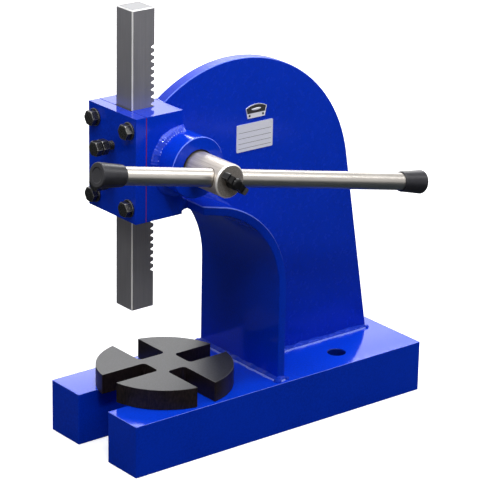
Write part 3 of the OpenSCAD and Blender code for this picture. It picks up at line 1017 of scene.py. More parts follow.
@dataclass(frozen=True)
class Bead:
    """A fillet weld whose corner runs straight, or round an axis.

    The bead starts at a corner point, and its two legs lie along two plates.
    """

    start: Vector
    leg_a: Vector
    leg_b: Vector
    leg: float
    run: Vector = Vector((0.0, 0.0, 0.0))
    centre: Vector | None = None
    axis: Vector = X_AXIS
    sweep: float = 0.0
    slack: float = 0.01
    step: float = 0.85
    least_steps: int = 8
    sunk: float = 0.2
    hollow: float = 1.45
    facets: int = 6
    pitch: float = 3.4
    ripple: float = 0.008
    wander: float = 0.32
    wander_length: float = 9.0
    seed: float = 37.0
    taper: float = 0.55
    taper_legs: float = 1.2

    def length(self) -> float:
        """The length of the corner, in metres.

        Returns:
            The length.
        """
        if self.centre is None:
            return self.run.length
        return abs(self.sweep) * (self.start - self.centre).length

    def travelled(self, point: Vector) -> float:
        """How far along the corner a point of the bead lies.

        Args:
            point: The point.

        Returns:
            The distance, in metres.
        """
        if self.centre is None:
            return (point - self.start).dot(self.run.normalized())
        first, now = self.start - self.centre, point - self.centre
        first -= self.axis * first.dot(self.axis)
        now -= self.axis * now.dot(self.axis)
        angle = math.atan2(self.axis.dot(first.cross(now)), first.dot(now))
        if self.sweep > 0.0 and angle < -self.slack:
            angle += math.tau
        if self.sweep < 0.0 and angle > self.slack:
            angle -= math.tau
        return abs(angle) * first.length

    def corner(self, distance: float) -> Vector:
        """The corner point at a distance along the bead.

        Args:
            distance: The distance, in metres.

        Returns:
            The point.
        """
        if self.centre is None:
            return self.start + self.run.normalized() * distance
        arm = self.start - self.centre
        angle = math.copysign(distance / arm.length, self.sweep)
        return self.centre + Matrix.Rotation(angle, 3, self.axis) @ arm

    def swell(self, distance: float) -> float:
        """How far the bead swells at a distance along it.

        Args:
            distance: The distance, in metres.

        Returns:
            The factor that its legs are scaled by.
        """
        rest = min(distance, self.length() - distance) / (self.taper_legs * self.leg * MM)
        end = self.taper + (1.0 - self.taper) * max(0.0, min(1.0, rest)) ** 0.5
        place = distance / MM
        wave = self.ripple * abs(math.cos(math.pi * place / self.pitch))
        drift = noise.noise(self.start * self.seed + X_AXIS * (place / self.wander_length))
        return end * (1.0 + wave + self.wander * drift)

    def build(self, mesh: BMesh) -> None:
        """Adds the bead to a mesh.

        Args:
            mesh: The mesh that takes it.
        """
        turns = [math.radians(90.0 * i / self.facets) for i in range(self.facets + 1)]
        outline = [(-self.sunk, -self.sunk), (1.0, -self.sunk)]
        outline += [(math.cos(t) ** self.hollow, math.sin(t) ** self.hollow) for t in turns]
        outline += [(-self.sunk, 1.0)]
        before = set(mesh.verts)
        corners = [
            mesh.verts.new(self.start + (self.leg_a * a + self.leg_b * b) * self.leg * MM)
            for a, b in outline
        ]
        face = mesh.faces.new(corners)
        steps = max(self.least_steps, round(self.length() / (self.step * MM)))
        straight = self.centre is None
        bmesh.ops.spin(
            mesh, geom=[face], cent=self.start if straight else self.centre, axis=self.axis,
            dvec=self.run / steps, angle=self.sweep, steps=steps, use_merge=False,
        )
        for vert in mesh.verts:
            if vert not in before:
                distance = self.travelled(vert.co)
                corner = self.corner(distance)
                vert.co = corner + (vert.co - corner) * self.swell(distance)


@dataclass
class Welds(Assembly):
    """The beads that join the plates, the head and the boss."""

    body: Body = Body.FRAME
    web_foot: float = 188.3
    web_nose: float = 398.7
    web_rise: float = 36.0
    throat_half: float = 73.0
    throat_front: float = -2.5
    throat_back: float = 7.5
    bend_y: float = -113.5
    bend_z: float = 172.5
    bend_r: float = 121.0
    bend_angle: float = 77.0
    lip_run: float = 28.4
    lip_front: float = -114.0
    lip_low: float = 286.5
    lip_high: float = 296.8
    lip_slope: float = 0.12
    lip_under: float = 0.55
    head_half: float = 44.0
    head_back: float = -120.75
    head_top: float = 401.0
    head_gap: float = 1.0
    boss_r: float = 34.5
    boss_leg: float = 6.0
    leg: float = 5.0
    overrun: float = 2.0
    wrap: float = 3.0
    nose_overrun: float = 1.5
    nose_share: float = 0.64
    nose_up: float = 0.7
    foot_end_share: float = 0.6
    toe_rise: float = 1.6
    boss_toe: float = 1.3
    boss_toe_rise: float = 0.3
    drops: tuple[Colour, ...] = ((74.6, -3.7, 4.6), (74.2, 8.5, 3.4), (8.5, 187.8, 3.4))
    drop_rise: float = 0.5
    drop_shape: Colour = (1.0, 1.1, 0.85)
    drop_wave: float = 0.22
    drop_grain: float = 420.0
    drop_seed: float = 90.0

    def straight(
        self, start: Vector, end: Vector, leg_a: Vector, leg_b: Vector, share: float = 1.0
    ) -> Bead:
        """A straight bead between two corner points.

        Args:
            start: Its first corner point.
            end: Its last corner point.
            leg_a: Direction along one plate.
            leg_b: Direction along the other plate.
            share: Length of its legs, as a share of the usual leg.

        Returns:
            The bead.
        """
        run = end - start
        return Bead(start, leg_a, leg_b, share * self.leg, run, axis=run.normalized())

    def across(
        self, half: float, y: float, z: float, leg_a: Vector, leg_b: Vector, share: float = 1.0
    ) -> Bead:
        """A straight bead across the press, as long to one side as to the other."""
        return self.straight(mm(-half, y, z), mm(half, y, z), leg_a, leg_b, share)

    def past_top(self) -> float:
        """The angle round the boss from its top to the housing's back, in radians."""
        return math.asin((self.head_back - SHAFT_Y) / self.boss_r)

    def ring(self, x: float, sweep: float, leg: float, **shape: float) -> Bead:
        """A bead round the boss, from the housing's back.

        Args:
            x: The place of its corner across the press.
            sweep: The angle that it runs through, in radians.
            leg: Length of its legs.
            shape: How it is waved and tapered, where that differs from other beads.

        Returns:
            The bead.
        """
        turn = self.past_top()
        out = Vector((0.0, math.sin(turn), math.cos(turn)))
        centre = mm(x, SHAFT_Y, SHAFT_Z)
        start = centre + out * self.boss_r * MM
        side = X_AXIS * math.copysign(1.0, x)
        return Bead(start, side, out, leg, centre=centre, sweep=sweep, **shape)

    def foot_beads(self) -> list[Bead]:
        """The beads at the feet of the two plates.

        Returns:
            The beads.
        """
        z, front, back = BASE_TOP, self.throat_front, self.throat_back
        beads = [self.across(self.throat_half + self.overrun, front, z, -Y_AXIS, Z_AXIS)]
        for side in SIDES:
            web, edge, out = side * WEB_HALF, side * self.throat_half, side * X_AXIS
            low, high = mm(edge, front - self.wrap, z), mm(edge, back + self.wrap, z)
            beads += [
                self.straight(mm(web, back + self.leg, z), mm(web, self.web_foot, z), out, Z_AXIS),
                self.straight(low, high, out, Z_AXIS),
                self.straight(mm(web, back, z), mm(edge, back, z), Y_AXIS, Z_AXIS),
            ]
        beads.append(self.across(WEB_HALF, self.web_foot, z, Y_AXIS, Z_AXIS, self.foot_end_share))
        return beads

    def seam_beads(self) -> list[Bead]:
        """The beads between web, throat plate, housing and boss.

        Returns:
            The beads.
        """
        beads = []
        sweep = math.radians(self.bend_angle)
        rise = in_web(self.bend_angle)
        lip = X_AXIS.cross(rise)
        y = self.head_back
        for side in SIDES:
            web, out = side * WEB_HALF, side * X_AXIS
            foot = mm(web, self.throat_back, BASE_TOP + self.overrun)
            bend = mm(web, self.bend_y, self.bend_z)
            bend_start = mm(web, self.throat_back, self.bend_z)
            bend_end = bend + rise * self.bend_r * MM
            head = mm(web, y, SHAFT_Z + self.boss_r)
            beads += [
                self.straight(foot, bend_start, out, Y_AXIS),
                Bead(bend_start, out, Y_AXIS, self.leg, centre=bend, sweep=sweep),
                self.straight(bend_end, bend_end + lip * self.lip_run * MM, out, rise),
                self.straight(head, mm(web, y, self.head_top - self.head_gap), out, Y_AXIS),
                self.ring(web, 2.0 * self.past_top() - math.pi, self.leg),
            ]
        above, below = Y_AXIS + self.lip_slope * Z_AXIS, -self.lip_under * Z_AXIS
        nose = (self.nose_up * Z_AXIS, in_web(self.web_rise), self.nose_share)
        beads += [
            self.across(self.head_half, y, self.lip_high, above, Z_AXIS),
            self.across(WEB_HALF + self.nose_overrun, y, self.web_nose, *nose),
            self.across(self.head_half, y, self.lip_low, Y_AXIS, below),
        ]
        return beads

    def boss_beads(self) -> list[Bead]:
        """The broad rings between the boss and the housing's two sides.

        Returns:
            The beads.
        """
        sweep = math.pi + 2.0 * self.past_top()
        shape = {"ripple": 0.05, "wander": 0.2, "taper": 0.9}
        return [self.ring(s * self.head_half, sweep, self.boss_leg, **shape) for s in SIDES]

    def at_boss_toe(self, face: BMFace) -> bool:
        """Whether a face is the upper toe of a bead, where it runs out on the boss."""
        out = from_shaft(face.calc_center_median()) - self.boss_r
        return face.normal.z > self.boss_toe_rise and 0.0 < out < self.boss_toe

    def at_foot_toe(self, face: BMFace) -> bool:
        """Whether a face is the toe of a bead, where it runs out on the base."""
        return face.calc_center_median().z < (BASE_TOP + self.toe_rise) * MM

    def drip(self, mesh: BMesh) -> None:
        """Adds the drops where foot beads end: at the throat plate's corners and the web's foot.

        Args:
            mesh: The mesh that takes them.
        """
        spots = [(side * x, y, size) for x, y, size in self.drops for side in SIDES]
        for x, y, size in spots:
            made = bmesh.ops.create_icosphere(mesh, subdivisions=3, radius=size * MM)["verts"]
            for vert in made:
                wave = noise.noise(vert.co * self.drop_grain + mm(x, y, 0.0) * self.drop_seed)
                vert.co *= 1.0 + self.drop_wave * wave
            bmesh.ops.scale(mesh, vec=Vector(self.drop_shape), verts=made)
            bmesh.ops.translate(mesh, vec=mm(x, y, BASE_TOP + self.drop_rise), verts=made)

    def build(self) -> None:
        """Builds the three groups of beads, and fills the gap between throat lip and housing."""
        groups = (
            ("base_welds", self.foot_beads(), FINISH.bead),
            ("frame_welds", self.seam_beads(), FINISH.bead),
            ("boss_welds", self.boss_beads(), FINISH.boss),
        )
        for node, beads, finish in groups:
            mesh = bmesh.new()
            for bead in beads:
                bead.build(mesh)
            if node == "base_welds":
                # Painted highlight along the toes of the foot beads.
                paint_faces(mesh, 1, self.at_foot_toe)
                self.drip(mesh)
            elif node == "frame_welds":
                low = mm(-self.head_half, self.head_back, self.lip_low)
                block(mesh, low, mm(self.head_half, self.lip_front, self.lip_high))
            else:
                # Painted highlight along the upper toes of the boss beads.
                paint_faces(mesh, 1, self.at_boss_toe)
            finishes = [finish, FINISH.bead_toe_highlight]
            self.add(f"beads_{node}", mesh, finishes, Slot.PAINT, node, sharp=70.0, closed=True)


@dataclass
class CoverFasteners(Assembly):
    """Bolts, washers and gib screws of the cover, and what they hold."""

    body: Body = Body.FRAME
    across_flats: float = 16.0
    head_height: float = 7.0
    nut_height: float = 8.0
    corner_cut: float = 1.5
    edge: float = 0.45
    cap_rim: float = 1.6
    cap_rise: float = 0.25
    seam_sink: float = 0.9
    thread_r: float = 4.95
    thread_depth: float = 0.75
    thread_pitch: float = 1.5
    thread_crest: Span = (0.42, 0.58)
    thread_sunk: float = 0.2
    washer_r: float = 10.0
    washer_bore: float = 5.3
    washer_t: float = 2.0
    washer_ease: float = 0.4
    cover_y: float = -183.55
    middle_z: float = 341.25
    bolt_x: float = 31.5
    bolt_z: float = 44.0
    bolt_end: float = -149.25
    gib_z: float = 20.0
    gib_out: float = 25.0
    gib_end: float = -173.83
    nut_gap: float = 1.5

    def hexagon(self, mesh: BMesh, x: float, front: float, z: float, height: float) -> None:
        """Adds a hexagon with cut corners and eased edges.

        Args:
            mesh: The mesh that takes it.
            x: Its place across the press.
            front: Its front face.
            z: Its height above the bench.
            height: Its thickness.
        """
        part = bmesh.new()
        radius = self.across_flats / math.sqrt(3.0) * MM
        turn = Matrix((-Z_AXIS, X_AXIS, -Y_AXIS)).transposed().to_4x4()
        bmesh.ops.create_cone(
            part, cap_ends=True, segments=6, radius1=radius, radius2=radius, depth=height * MM,
            matrix=Matrix.Translation(mm(x, front + height / 2.0, z)) @ turn,
        )
        points = [v for v in part.verts if v.co.y < (front + LEVEL) * MM]
        bevel(part, points, self.corner_cut, 1, Cut.POINTS)
        # Painted highlight on the hexagon's eased edges.
        for face in soften(part, self.edge, segments=2, low=20.0):
            face.material_index = 1
        cap = max(part.faces, key=lambda f: f.calc_area() if f.normal.y < -FACING else 0.0)
        rim, rise = in_metres((self.cap_rim, self.cap_rise))
        bmesh.ops.inset_region(part, faces=[cap], thickness=rim, depth=rise)
        join(part, mesh)

    def thread(self, mesh: BMesh, x: float, start: float, end: float, z: float) -> None:
        """Adds a threaded shank along Y.

        Args:
            mesh: The mesh that takes it.
            x: Its place across the press.
            start: Its front end.
            end: Its back end.
            z: Its height above the bench.
        """
        root, pitch = self.thread_r - self.thread_depth, self.thread_pitch
        profile = [(0.0, 0.0)]
        height = 0.0
        while height + pitch < end - start:
            profile.append((root, height))
            profile += [(self.thread_r, height + share * pitch) for share in self.thread_crest]
            height += pitch
        profile += [(root, end - start), (0.0, end - start)]
        lathe(mesh, profile, along(Y_AXIS, mm(x, start, z)), steps=24)

    def blacken(self, name: str, mesh: BMesh, node: str) -> None:
        """Makes a piece of blackened fasteners, with a painted highlight on their edges."""
        finishes = [FINISH.fastener, FINISH.fastener_highlight]
        self.add(name, mesh, finishes, Slot.OXIDE, node, sharp=24.0, closed=True)

    def bolts_and_washers(self) -> None:
        """Builds the four bolts of the cover and their washers."""
        bolts, washers = bmesh.new(), bmesh.new()
        under = self.cover_y - self.washer_t
        bore, out, top, ease = self.washer_bore, self.washer_r, self.washer_t, self.washer_ease
        ring = [(bore, 0.0), (out, 0.0), (out, top - ease), (out - ease, top), (bore, top), (bore, 0.0)]
        for x in (-self.bolt_x, self.bolt_x):
            for z in (self.middle_z - self.bolt_z, self.middle_z + self.bolt_z):
                self.hexagon(bolts, x, under - self.head_height, z, self.head_height)
                self.thread(bolts, x, under - self.thread_sunk, self.bolt_end, z)
                lathe(washers, ring, along(-Y_AXIS, mm(x, self.cover_y, z)))
        # Painted highlight on the washers' eased outer edges.
        paint_faces(washers, 1, lambda f: ASLANT < abs(f.normal.y) < FACING)
        self.blacken("cover_bolts_cut", bolts, "cover_bolts")
        self.blacken("cover_washers_eased", washers, "cover_washers")

    def gib_adjusters(self) -> None:
        """Builds the two gib screws and their lock nuts."""
        screws, nuts = bmesh.new(), bmesh.new()
        front = self.cover_y - self.gib_out
        neck = front + self.head_height
        for z in (self.middle_z - self.gib_z, self.middle_z + self.gib_z):
            self.hexagon(screws, 0.0, front, z, self.head_height)
            self.thread(screws, 0.0, neck - self.thread_sunk, self.gib_end, z)
            self.hexagon(nuts, 0.0, neck + self.nut_gap, z, self.nut_height)
        self.blacken("gib_screws_threaded", screws, "gib_screws")
        self.blacken("gib_lock_nuts_cut", nuts, "gib_lock_nuts")

    def build(self) -> None:
        """Builds the fasteners and the shims, and dresses the gib strip."""
        self.bolts_and_washers()
        self.gib_adjusters()
        seam = node_mesh("cover_shims")
        top = max(v.co.z for v in seam.verts) - LEVEL * MM
        upper = [v for v in seam.verts if v.co.z > top]
        bmesh.ops.translate(seam, vec=mm(0.0, 0.0, -self.seam_sink), verts=upper)
        self.add("cover_shims_pressed", seam, [FINISH.fibre], Slot.FIBRE, "cover_shims")
        self.keep("gib_strip", FINISH.brass)


@dataclass
class WebPlates(Assembly):
    """The bare badge with its rivets and the bare data plate on the web."""

    body: Body = Body.FRAME
    face_x: float = 8.5
    badge_y: float = 10.5
    badge_z: float = 360.2
    badge_h: float = 16.0
    rim: float = 1.0
    sink: float = 0.35
    floor_reach: float = 0.02
    strip: float = 0.34
    lens: Colour = (0.5, 6.8, 1.5)
    lens_rise: float = 0.62
    rivet_y: float = 9.75
    rivet_z: float = 363.2
    rivet_r: float = 1.25
    dome: Profile = (
        (0.0, -0.4), (1.0, -0.4), (1.0, 0.15), (0.93, 0.42), (0.72, 0.7), (0.4, 0.88), (0.0, 0.95),
    )
    data_y: float = 8.9
    data_z: float = 338.4
    data_w: float = 52.0
    data_h: float = 32.0
    data_corner: float = 1.2
    corner_facets: int = 4
    data_rim: float = 1.0
    data_sink: float = 0.12
    line_t: float = 0.45
    line_up: float = 0.06
    line_sunk: float = 0.1
    line_margin: float = 2.6
    lines: tuple[float, ...] = (0.30, 0.51, 0.70, 0.88)

    def foot(self) -> float:
        """The height of the top of the badge's silver foot, in metres."""
        return (self.badge_z + self.strip * self.badge_h) * MM

    def in_field(self, face: BMFace) -> bool:
        """Whether a face of the badge belongs to its sunk field.

        Args:
            face: The face.

        Returns:
            Whether it lies on the sunk floor, above the foot.
        """
        middle = face.calc_center_median()
        floor = (self.face_x - self.sink + self.floor_reach) * MM
        return face.normal.x > FACING and middle.x < floor and middle.z > self.foot()

    def badge(self) -> None:
        """Builds the badge: a silver rim and foot round a sunk dark field."""
        mesh = node_mesh("badge_plate")
        face = lever_face(mesh)
        bmesh.ops.inset_region(mesh, faces=[face], thickness=self.rim * MM, depth=-self.sink * MM)
        geometry = [*face.verts, *face.edges, face]
        split = Z_AXIS * self.foot()
        bmesh.ops.bisect_plane(mesh, geom=geometry, plane_co=split, plane_no=Z_AXIS)
        paint_faces(mesh, 1, self.in_field)
        lens = bmesh.ops.create_uvsphere(mesh, u_segments=32, v_segments=12, radius=MM)["verts"]
        bmesh.ops.scale(mesh, vec=Vector(self.lens), verts=lens)
        height = self.badge_z + self.lens_rise * self.badge_h
        middle = mm(self.face_x - self.sink, self.badge_y, height)
        bmesh.ops.translate(mesh, vec=middle, verts=lens)
        finishes = [FINISH.silver, FINISH.dark_field]
        self.add("badge_rimmed", mesh, finishes, Slot.SILVER, "badge_plate")

    def rivets(self) -> None:
        """Builds the badge's two domed rivets."""
        mesh = bmesh.new()
        dome = [(share * self.rivet_r, height) for share, height in self.dome]
        for side in SIDES:
            place = mm(self.face_x, self.badge_y + side * self.rivet_y, self.rivet_z)
            lathe(mesh, dome, along(X_AXIS, place), steps=20)
        finishes = [FINISH.fastener]
        self.add("badge_rivets_domed", mesh, finishes, Slot.OXIDE, "badge_rivets", closed=True)

    def data_plate(self) -> None:
        """Builds the data plate: a raised border and plain ruled lines, with no words."""
        mesh = bmesh.new()
        y0, y1 = self.data_y - self.data_w / 2.0, self.data_y + self.data_w / 2.0
        z0, z1 = self.data_z - self.data_h / 2.0, self.data_z + self.data_h / 2.0
        block(mesh, mm(WEB_HALF, y0, z0), mm(self.face_x, y1, z1))
        corners = [e for e in mesh.edges if abs(e.verts[0].co.x - e.verts[1].co.x) > LEVEL * MM]
        bevel(mesh, corners, self.data_corner, self.corner_facets)
        mesh.normal_update()
        rim, sink = in_metres((self.data_rim, self.data_sink))
        bmesh.ops.inset_region(mesh, faces=[lever_face(mesh)], thickness=rim, depth=-sink)
        before = set(mesh.faces)
        top, half = self.face_x - self.data_sink, self.line_t / 2.0
        y0, y1 = y0 + self.line_margin, y1 - self.line_margin
        for share in self.lines:
            z = z1 - share * self.data_h
            low = mm(top - self.line_sunk, y0, z - half)
            block(mesh, low, mm(top + self.line_up, y1, z + half))
        paint_faces(mesh, 1, lambda f: f not in before)
        finishes = [FINISH.silver, FINISH.ink]
        self.add("data_plate_ruled", mesh, finishes, Slot.SILVER, "data_plate")

    def build(self) -> None:
        """Builds badge, rivets and data plate."""
        self.badge()
        self.rivets()
        self.data_plate()


@dataclass
class PinionDrive(Assembly):
    """The shaft with its pinion, and the washer and ring on its far end."""

    body: Body = Body.PINION
    end_x: float = 132.0
    chamfer: float = 1.5
    hole_r: float = 10.05
    hole_reach: float = 0.15
    hole_edge: float = 0.9
    hole_angle: float = 30.0
    washer_edge: float = 0.3
    ring_edge: float = 0.25

    def in_lever_hole(self, edge: BMEdge) -> bool:
        """Whether an edge belongs to the hole that the lever runs through.

        Args:
            edge: The edge.

        Returns:
            Whether both of its ends lie on the hole's wall.
        """
        axis = in_web(-LEVER_TILT)
        arms = [v.co - mm(LEVER_X, SHAFT_Y, SHAFT_Z) for v in edge.verts]
        outs = [(arm - axis * arm.dot(axis)).length / MM for arm in arms]
        return all(abs(out - self.hole_r) < self.hole_reach for out in outs)

    def at_end(self, face: BMFace, depth: float) -> bool:
        """Whether a face lies within a depth of the shaft's lever end."""
        return face.calc_center_median().x > (self.end_x - depth) * MM

    def build(self) -> None:
        """Builds the shaft, with painted shade round the lever's hole, and the parts that hold it."""
        shaft = node_mesh("pinion_shaft")
        # Painted shade on the rounding round the lever's hole.
        for face in soften(shaft, self.hole_edge, 1, self.hole_angle, self.in_lever_hole):
            face.material_index = 3
        paint_faces(shaft, 1, lambda f: f.normal.x > FACING and self.at_end(f, LEVEL))
        # Painted highlight on the chamfer at the lever end.
        paint_faces(
            shaft, 2, lambda f: LEANING < f.normal.x < FACING and self.at_end(f, self.chamfer)
        )
        finishes = [FINISH.shaft, FINISH.face, FINISH.rim, FINISH.gap]
        self.add("pinion_shaft_turned", shaft, finishes, Slot.BRIGHT, "pinion_shaft", sharp=25.0)
        washer, ring = "thrust_washer", "retaining_ring"
        self.ease("thrust_washer_eased", washer, self.washer_edge, FINISH.face, Slot.BRIGHT)
        self.ease("retaining_ring_eased", ring, self.ring_edge, FINISH.fastener, Slot.OXIDE)


@dataclass
class HandLever(Assembly):
    """The lever bar and its two rubber caps."""

    body: Body = Body.LEVER
    front: float = 166.7
    back: float = 297.0
    bar_r: float = 10.0
    bar_edge: float = 1.0
    cap_r: float = 13.7
    cap_mouth_r: float = 11.7
    cap_len: float = 33.0
    cap_end: float = 4.0
    cap_edge: float = 1.6
    cap_facets: int = 5
    dish_r: float = 8.0
    dish: float = 0.7

    def cap(self, name: str, reach: float, outward: Vector) -> None:
        """Builds one cap: tapered, with eased edges and a dished end.

        Args:
            name: The cap's solid.
            reach: Distance of its closed end from the shaft axis.
            outward: The direction in which its closed end points.
        """
        e, r, m, bar = self.cap_edge, self.cap_r, self.cap_mouth_r, self.bar_r
        turns = [math.radians(90.0 * i / self.cap_facets) for i in range(self.cap_facets + 1)]
        end = [(r - e + e * math.sin(t), -e + e * math.cos(t)) for t in turns]
        profile = [(0.0, -self.dish), (self.dish_r - 0.5, -self.dish), (self.dish_r, -self.dish + 0.2)]
        profile += [(self.dish_r + 0.5, -0.12), (self.dish_r + 0.9, 0.0), *end]
        profile += [(m + 0.15, 2.0 - self.cap_len), (m - 0.25, 0.8 - self.cap_len)]
        profile += [(m - 1.0, -self.cap_len), (bar + 0.7, -self.cap_len)]
        profile += [(bar - 0.02, 0.7 - self.cap_len), (bar - 0.02, -self.cap_end)]
        profile += [(0.0, -self.cap_end)]
        place = mm(LEVER_X, SHAFT_Y, SHAFT_Z) + outward * reach * MM
        mesh = bmesh.new()
        lathe(mesh, profile, along(outward, place), steps=72)
        finishes = [FINISH.rubber]
        self.add(f"{name}_moulded", mesh, finishes, Slot.RUBBER, name, sharp=40.0, closed=True)

    def build(self) -> None:
        """Builds the bar and both caps."""
        self.ease("lever_bar_drawn", "lever_bar", self.bar_edge, FINISH.bar, Slot.BRIGHT)
        back = in_web(-LEVER_TILT)
        self.cap("lever_front_cap", self.front, -back)
        self.cap("lever_back_cap", self.back, back)


@dataclass
class WingScrew(Assembly):
    """The clamp screw's stud and its winged knob."""

    body: Body = Body.WING
    x: float = 133.0
    height: float = 13.0
    hub_r: float = 6.8
    angle: float = -42.0
    span: float = 34.5
    thick: float = 9.2
    root: float = 0.78
    waist: float = 0.74
    waist_w: float = 0.13
    waist_cut: float = 0.2
    dip: float = 2.2
    shoulder: float = 2.0
    wing_rise: float = 1.2
    wing_sink: float = 0.6
    wing_under: float = 1.4
    wing_cuts: int = 17
    wing_r: float = 3.4
    wing_facets: int = 5
    wing_edge: float = 0.8

    def place(self) -> Matrix:
        """The knob's frame: Z along the screw, X along the wings."""
        wing = in_web(self.angle)
        rows = Matrix((wing, X_AXIS.cross(wing), X_AXIS)).transposed().to_4x4()
        return Matrix.Translation(mm(self.x, SHAFT_Y, SHAFT_Z)) @ rows

    def wings(self, mesh: BMesh) -> None:
        """Adds the two wings, waisted at the hub and rounded at their ends.

        Args:
            mesh: The mesh that takes them.
        """
        part = bmesh.new()
        corner = mm(self.span, self.thick, self.height - self.shoulder) / 2.0
        block(part, -corner, corner)
        half = corner.x
        lengthwise = [e for e in part.edges if abs(e.verts[0].co.x - e.verts[1].co.x) > half]
        bmesh.ops.subdivide_edges(part, edges=lengthwise, cuts=self.wing_cuts, use_grid_fill=True)
        for vert in part.verts:
            out = abs(vert.co.x) / half
            notch = math.exp(-(((out - self.waist) / self.waist_w) ** 2))
            vert.co.y *= self.root + (1.0 - self.root) * out - self.waist_cut * notch
            rise = self.wing_rise * out - self.wing_sink - self.dip * notch
            vert.co.z += (rise if vert.co.z > 0.0 else self.wing_under * out) * MM
        at_end = [e for e in part.edges if all(abs(v.co.x) > half - CLOSE * MM for v in e.verts)]
        upright = [e for e in at_end if abs(e.verts[0].co.z - e.verts[1].co.z) > MM]
        bevel(part, upright, self.wing_r, self.wing_facets)
        soften(part, self.wing_edge, low=35.0)
        lift = Matrix.Translation(Z_AXIS * self.height / 2.0 * MM)
        bmesh.ops.transform(part, matrix=self.place() @ lift, verts=part.verts)
        join(part, mesh)

    def build(self) -> None:
        """Builds the knob and dresses the stud."""
        mesh = bmesh.new()
        self.wings(mesh)
        r, h = self.hub_r, self.height
        hub = [(0.0, 0.0), (r - 0.6, 0.0), (r, 0.7), (r, h - 2.2), (r - 0.5, h - 1.0)]
        hub += [(r - 1.6, h - 0.3), (r - 3.0, h), (0.0, h)]
        lathe(mesh, hub, self.place(), steps=48)
        finishes = [FINISH.knob]
        self.add("wing_knob_cast", mesh, finishes, Slot.KNOB, "wing_knob", sharp=40.0, closed=True)
        self.keep("clamp_stud", FINISH.fastener)


@dataclass
class Ram(Assembly):
    """The square rack with its ground faces, and a painted highlight on its near chamfers."""

    body: Body = Body.RAM

    def build(self) -> None:
        """Builds the rack: near chamfers with a painted highlight, its sawn end and far chamfers in
        duller steel.
        """
        mesh = node_mesh("rack")
        top = max(v.co.z for v in mesh.verts) - LEVEL * MM
        # Painted highlight on every chamfer; the lines after it take the far ones back.
        paint_faces(mesh, 1, lambda f: sorted(map(abs, f.normal))[1] > LEANING)
        paint_faces(mesh, 2, lambda f: f.normal.z > FACING and f.calc_center_median().z > top)
        paint_faces(mesh, 2, lambda f: f.normal.z > ASLANT and f.normal.y - f.normal.x > LEANING)
        finishes = [FINISH.rack, FINISH.rack_highlight, FINISH.rack_end]
        self.add("rack_ground", mesh, finishes, Slot.GROUND, "rack", sharp=25.0)


@dataclass
class ArborTable(Assembly):
    """The slotted plate that turns on the base."""

    body: Body = Body.TABLE
    edge: float = 0.6
    highlight_rise: float = 0.2

    def build(self) -> None:
        """Builds the plate, with its sides a shade browner than its top and a painted highlight on its
        upward roundings.
        """
        mesh = node_mesh("arbor_plate")
        made = soften(mesh, self.edge, segments=2)
        paint_faces(mesh, 1, lambda f: abs(f.normal.z) < LEANING)
        # Painted highlight on the roundings that look up.
        for face in made:
            if face.normal.z > self.highlight_rise:
                face.material_index = 2
        finishes = [FINISH.plate_top, FINISH.plate_side, FINISH.plate_highlight]
        self.add("arbor_plate_eased", mesh, finishes, Slot.OXIDE, "arbor_plate", sharp=30.0)


@dataclass(frozen=True)
class Softbox:
    """A soft lamp: its place, what it faces, its sides in metres and its brightness."""

    name: str
    place: Colour
    aim: Colour
    sides: Span
    glow: float

    def hang(self) -> None:
        """Hangs the lamp."""
        light = bpy.data.lights.new(self.name, "AREA")
        light.shape = "RECTANGLE"
        light.size, light.size_y = self.sides
        light.energy = self.glow * math.pi * self.sides[0] * self.sides[1]
        lamp = bpy.data.objects.new(self.name, light)
        lamp.location = self.place
        lamp.rotation_mode = "QUATERNION"
        toward = Vector(self.aim) - Vector(self.place)
        lamp.rotation_quaternion = toward.to_track_quat("-Z", "Y")
        lamp.visible_camera = False
        bpy.context.scene.collection.objects.link(lamp)


